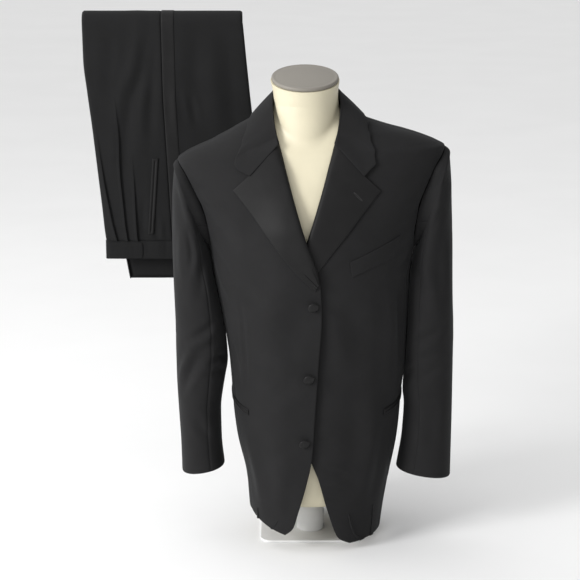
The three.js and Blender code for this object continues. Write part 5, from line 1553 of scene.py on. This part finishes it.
class TUXEDO_OT_buttonhole(bpy.types.Operator):
    """Stitch the buttonhole on the wearer's left lapel, a ring of close thread stitches."""
    bl_idname = "tuxedo.buttonhole"
    bl_label = "Lapel buttonhole"

    def execute(self, context):
        (x0, z0), (x1, z1) = BUTTONHOLE
        length = math.hypot(x1 - x0, z1 - z0)
        along = np.array([x1 - x0, z1 - z0]) / length
        aside = np.array([-along[1], along[0]])
        turn = np.linspace(0, 2 * math.pi, STITCH_STEPS, endpoint=False)
        half = length / 2
        run = half * np.sign(np.cos(turn)) * np.abs(np.cos(turn)) ** 0.7
        eye = 1 + EYE_WIDER * np.exp(-(((run - half) / EYE_LENGTH) ** 2))
        spread = HOLE_HALF * np.sin(turn) * eye
        middle = np.array([(x0 + x1) / 2, (z0 + z1) / 2])
        place = middle + run[:, None] * along + spread[:, None] * aside
        stitch = STITCH_RADIUS + STITCH_RELIEF * np.cos(turn * STITCHES)
        surface = lapel_surface(LEFT)
        us, vs = np.meshgrid(np.linspace(0.3, 1, 160), np.linspace(0.5, 1, 160))
        face = surface(us, vs).reshape(-1, 3)
        nearest = [face[np.argmin(np.hypot(face[:, 0] - p[0], face[:, 2] - p[1]))][1] for p in place]
        centre = np.stack([place[:, 0], np.array(nearest) - 0.1, place[:, 1]], -1)
        forward = np.roll(centre, -1, 0) - np.roll(centre, 1, 0)
        forward /= np.linalg.norm(forward, axis=1, keepdims=True)
        out = np.array(LAPEL_OUTWARD)
        side = np.cross(forward, out)
        side /= np.linalg.norm(side, axis=1, keepdims=True)
        edit = bmesh.new()
        corners = []
        for i in range(STITCH_STEPS):
            ring = [centre[i] + stitch[i] * (math.cos(t) * side[i] * 1.3 + math.sin(t) * out)
                    for t in np.linspace(0, 2 * math.pi, 8, endpoint=False)]
            corners.append([edit.verts.new(p * MM) for p in ring])
        for i in range(STITCH_STEPS):
            a, b = corners[i], corners[(i + 1) % STITCH_STEPS]
            for k in range(8):
                edit.faces.new((a[k], a[(k + 1) % 8], b[(k + 1) % 8], b[k]))
        bmesh.ops.recalc_face_normals(edit, faces=edit.faces[:])
        mesh = bpy.data.meshes.new("lapel_buttonhole")
        edit.to_mesh(mesh)
        edit.free()
        piece = linked("lapel_buttonhole", mesh)
        bpy.ops.object.shade_smooth()
        finish_piece(piece, "satin", finish="thread")
        return {"FINISHED"}


class TUXEDO_OT_buttons(bpy.types.Operator):
    """Make the three satin-covered buttons on their shanks."""
    bl_idname = "tuxedo.buttons"
    bl_label = "Buttons"

    def execute(self, context):
        rise = np.linspace(0, math.pi / 2, 9)
        top = SHANK_LENGTH
        dome = [(BUTTON_RADIUS * math.cos(t) ** 0.8, top + 2.0 + 3.0 * math.sin(t)) for t in rise[:-1]]
        profile = [(0, 0), (2.5, 0), (2.3, top), (7.5, top - 0.1), (8.8, top + 0.2), (9.7, top + 1.0)]
        profile += dome + [(0, top + 5.0)]
        for i, (x, z, droop, turn, seat) in enumerate(BUTTONS):
            stand = float(lap_stand(x, z)) + seat
            place = on_body(angle_of(float(x), float(z)), float(z), stand) * MM
            matrix = (Matrix.Translation(Vector(place)) @ Matrix.Rotation(math.radians(turn), 4, "Z")
                      @ Matrix.Rotation(math.radians(90 + droop), 4, "X"))
            piece = turned(f"button_{i + 1}_covered", profile, 48, matrix)
            layer = piece.data.uv_layers.new(name="cloth")
            for loop in piece.data.loops:
                point = piece.data.vertices[loop.vertex_index].co
                layer.data[loop.index].uv = (point.x, point.z)
            finish_piece(piece, "satin", f"button_{i + 1}", finish="button_satin")
        return {"FINISHED"}


class TUXEDO_OT_trouser_legs(bpy.types.Operator):
    """Make the outer leg, front and back, folded over the rail, with its pleats."""
    bl_idname = "tuxedo.trouser_legs"
    bl_label = "Trouser front and back"

    def execute(self, context):
        sizes = cloth_sizes(context)
        rows = trouser_rows(PANEL_STEPS[1])
        for name, grid, sides in (("trouser_front_right", trouser_front_grid, ("free", "seam")),
                                  ("trouser_back_right", trouser_back_grid, ("seam", "free"))):
            edges = (*sides, "seam", "free")
            points, row = grid(rows)
            outward = fold_outward(points, row)
            sink = edge_depth(points, edges, sizes.seam_depth / MM, TROUSER_ROLL)
            points = points - normals_of(points, outward) * sink[..., None]
            sew(f"{name}_cloth", points, outward, sizes.trouser_wall / MM, "trouser_wool", [name])
        return {"FINISHED"}


class TUXEDO_OT_trouser_layers(bpy.types.Operator):
    """Make the plies under the outer leg: its inner side and the other leg."""
    bl_idname = "tuxedo.trouser_layers"
    bl_label = "Trouser layers"

    def execute(self, context):
        sizes = cloth_sizes(context)
        rows = trouser_rows(PLY_STEP)
        for layer in range(len(LAYERS)):
            points, row = trouser_layer_grid(layer, rows)
            nodes = ["trouser_inner_layers"] if layer == 0 else []
            sew(f"trouser_ply_{layer + 1}", points, fold_outward(points, row), sizes.trouser_wall / MM,
                "trouser_wool", nodes)
        return {"FINISHED"}


class TUXEDO_OT_stripe(bpy.types.Operator):
    """Make the satin stripe along the outer seam."""
    bl_idname = "tuxedo.stripe"
    bl_label = "Side stripe"

    def execute(self, context):
        sizes = cloth_sizes(context)
        rows = trouser_rows(PANEL_STEPS[1])
        points, row = stripe_grid(rows)
        sew("trouser_stripe_satin", points, fold_outward(points, row), sizes.satin_wall / MM, "satin",
            ["trouser_stripe_right"])
        return {"FINISHED"}


class TUXEDO_OT_waistband(bpy.types.Operator):
    """Make the waistband and its closing extension."""
    bl_idname = "tuxedo.waistband"
    bl_label = "Waistband"

    def execute(self, context):
        sizes = cloth_sizes(context)
        points = waistband_grid()
        sew("trouser_waistband_cloth", points, fold_outward(points, 0 * points[..., 0]),
            sizes.trouser_wall / MM, "trouser_wool", ["trouser_waistband"])
        base = float(outer_face(0)) + 1
        width, height = EXTENSION_TO - EXTENSION_FROM, WAISTBAND_TOP - 2 - WAIST_Z - 1

        def face(u, v, x, z):
            end = 0.6 * np.exp(-(((1 - u) * width / 1.0) ** 2)) + 1.2 * np.exp(-((u * width / 3.0) ** 2))
            side = 0.4 * np.exp(-((np.minimum(v, 1 - v) * height / PATCH_REACH) ** 2))
            return base + 1.5 - end - side - 0.5 * waist_sink(x)

        def x_of(u, v):
            corner = 2 * (2 * v - 1) ** 4 * smooth(u, 0.8, 1)
            return mix(EXTENSION_FROM + 3, EXTENSION_TO, u) - corner

        points = flat_patch(x_of, lambda u, v: mix(WAIST_Z + 1, WAISTBAND_TOP - 2, v), face, width, height)
        sew("trouser_extension_cloth", points, fold_outward(points, 0 * points[..., 0]), EXTENSION_WALL,
            "trouser_wool", ["trouser_extension"])
        return {"FINISHED"}


class TUXEDO_OT_side_pocket(bpy.types.Operator):
    """Make the jetted side pocket of the trousers, two satin lips along a slanting slit."""
    bl_idname = "tuxedo.side_pocket"
    bl_label = "Side pocket"

    def execute(self, context):
        sizes = cloth_sizes(context)
        reach = POCKET_LIP + POCKET_SLIT / 2
        (top_x, top_z), (low_x, low_z) = SIDE_POCKET_TOP, SIDE_POCKET_BOTTOM
        length = math.hypot(top_x - low_x, top_z - low_z)

        def face(u, v, x, z):
            offset = (u * 2 - 1) * reach
            ends = np.minimum(v, 1 - v) * length
            slit = 1.4 * np.exp(-((offset / 1.1) ** 2)) * smooth(ends, 3, 7)
            edge = 0.6 * (np.abs(offset) / reach) ** 8 + 0.5 * np.exp(-((ends / 0.7) ** 2))
            row = row_at(z)
            return outer_face(row) + 2.3 - slit - edge - trouser_depth(x, row)

        points = flat_patch(lambda u, v: mix(low_x, top_x, v) + (u * 2 - 1) * reach,
                            lambda u, v: mix(low_z, top_z, v), face, 2 * reach, length, 1.2)
        sew("trouser_pocket_satin", points, fold_outward(points, 0 * points[..., 0]), sizes.satin_wall / MM,
            "satin", ["trouser_pocket_right"])
        return {"FINISHED"}


CAMERA_X = -0.039
LIGHT_TARGET = (0, 0, 0.5)
KEY_PLACE, KEY_SIZE = (-3.0, -2.2, 1.9), 1.3
TOP_PLACE, TOP_SIZE = (-0.8, 0.9, 3.0), 2.4
# the surrounding light grows from the low right to the high left: direction, cosines, levels
LIGHT_FROM, LIGHT_COSINES, LIGHT_LEVELS = (-0.85, -0.3, 0.42), (-0.8, 0.9), (0.12, 1.6)


def area_light(name, place, size, power):
    bpy.ops.object.light_add(type="AREA", location=place)
    light = bpy.context.object
    light.name = name
    light.data.shape = "RECTANGLE"
    light.data.size = light.data.size_y = size
    light.data.energy = power
    light.rotation_euler = (Vector(LIGHT_TARGET) - Vector(place)).to_track_quat("-Z", "Y").to_euler()


class TUXEDO_OT_stage(bpy.types.Operator):
    """Set the camera, the pale floor and the soft studio light."""
    bl_idname = "tuxedo.stage"
    bl_label = "Stage"

    def execute(self, context):
        stage = context.scene.tuxedo_stage
        deselect_all()
        bpy.ops.object.camera_add(location=(CAMERA_X, -stage.camera_distance, stage.camera_height),
                                  rotation=(stage.camera_tilt, 0, 0))
        camera = bpy.context.object
        camera.name = "photo_camera"
        camera.data.lens = stage.lens / MM
        camera.data.sensor_width = 36
        context.scene.camera = camera
        bpy.ops.mesh.primitive_plane_add(size=60, location=(0, 0, -0.0005))
        floor = bpy.context.object
        floor.name = "studio_floor"
        finish, tree, shader = new_finish("floor_paint")
        grain = texture(tree, "ShaderNodeTexNoise", object_coordinates(tree), 3, Detail=3)
        shaded(tree, shader, grain.outputs["Fac"], (1, 1, 1), (0.3, 0.85), (0.7, 0.87))
        shader.inputs["Roughness"].default_value = 0.9
        floor.data.materials.append(finish)
        area_light("key_light", KEY_PLACE, KEY_SIZE, stage.key_power)
        area_light("top_light", TOP_PLACE, TOP_SIZE, stage.top_power)
        world = bpy.data.worlds.new("studio")
        context.scene.world = world
        world.use_nodes = True
        tree = world.node_tree
        toward = tree.nodes.new("ShaderNodeVectorMath")
        toward.operation = "DOT_PRODUCT"
        toward.inputs[1].default_value = LIGHT_FROM
        tree.links.new(tree.nodes.new("ShaderNodeTexCoord").outputs["Generated"], toward.inputs[0])
        level = tree.nodes.new("ShaderNodeMapRange")
        for name, (low, high) in (("From", LIGHT_COSINES), ("To", LIGHT_LEVELS)):
            level.inputs[f"{name} Min"].default_value = low
            level.inputs[f"{name} Max"].default_value = high
        tree.links.new(toward.outputs["Value"], level.inputs["Value"])
        tree.links.new(level.outputs["Result"], tree.nodes["Background"].inputs["Color"])
        tree.nodes["Background"].inputs["Strength"].default_value = stage.world_strength
        context.scene.view_settings.view_transform = "Standard"
        return {"FINISHED"}


STEPS = (
    TUXEDO_OT_form, TUXEDO_OT_neck_cap, TUXEDO_OT_stand, TUXEDO_OT_fronts, TUXEDO_OT_side_bodies,
    TUXEDO_OT_backs, TUXEDO_OT_lapels, TUXEDO_OT_buttonhole, TUXEDO_OT_collar, TUXEDO_OT_sleeves,
    TUXEDO_OT_pockets, TUXEDO_OT_buttons, TUXEDO_OT_trouser_layers, TUXEDO_OT_trouser_legs,
    TUXEDO_OT_stripe, TUXEDO_OT_waistband, TUXEDO_OT_side_pocket, TUXEDO_OT_stage,
)
GROUPS = {"tuxedo_cloth": TuxedoCloth, "tuxedo_colours": TuxedoColours, "tuxedo_stage": TuxedoStage}


class TUXEDO_PT_sidebar(bpy.types.Panel):
    """Lists the steps that build the tuxedo and the sizes they use."""
    bl_idname = "TUXEDO_PT_sidebar"
    bl_label = "Tuxedo"
    bl_space_type = "VIEW_3D"
    bl_region_type = "UI"
    bl_category = "Tuxedo"

    def draw(self, context):
        for group in GROUPS:
            box = self.layout.box()
            for key in GROUPS[group].__annotations__:
                box.prop(getattr(context.scene, group), key)
        for step in STEPS:
            self.layout.operator(step.bl_idname)


def register():
    for group, kind in GROUPS.items():
        bpy.utils.register_class(kind)
        setattr(bpy.types.Scene, group, PointerProperty(type=kind))
    for step in (*STEPS, TUXEDO_PT_sidebar):
        bpy.utils.register_class(step)


def unregister():
    for step in (TUXEDO_PT_sidebar, *reversed(STEPS)):
        bpy.utils.unregister_class(step)
    for group, kind in GROUPS.items():
        delattr(bpy.types.Scene, group)
        bpy.utils.unregister_class(kind)


def main():
    register()
    for step in STEPS:
        category, name = step.bl_idname.split(".")
        getattr(getattr(bpy.ops, category), name)()


if __name__ == "__main__":
    main()
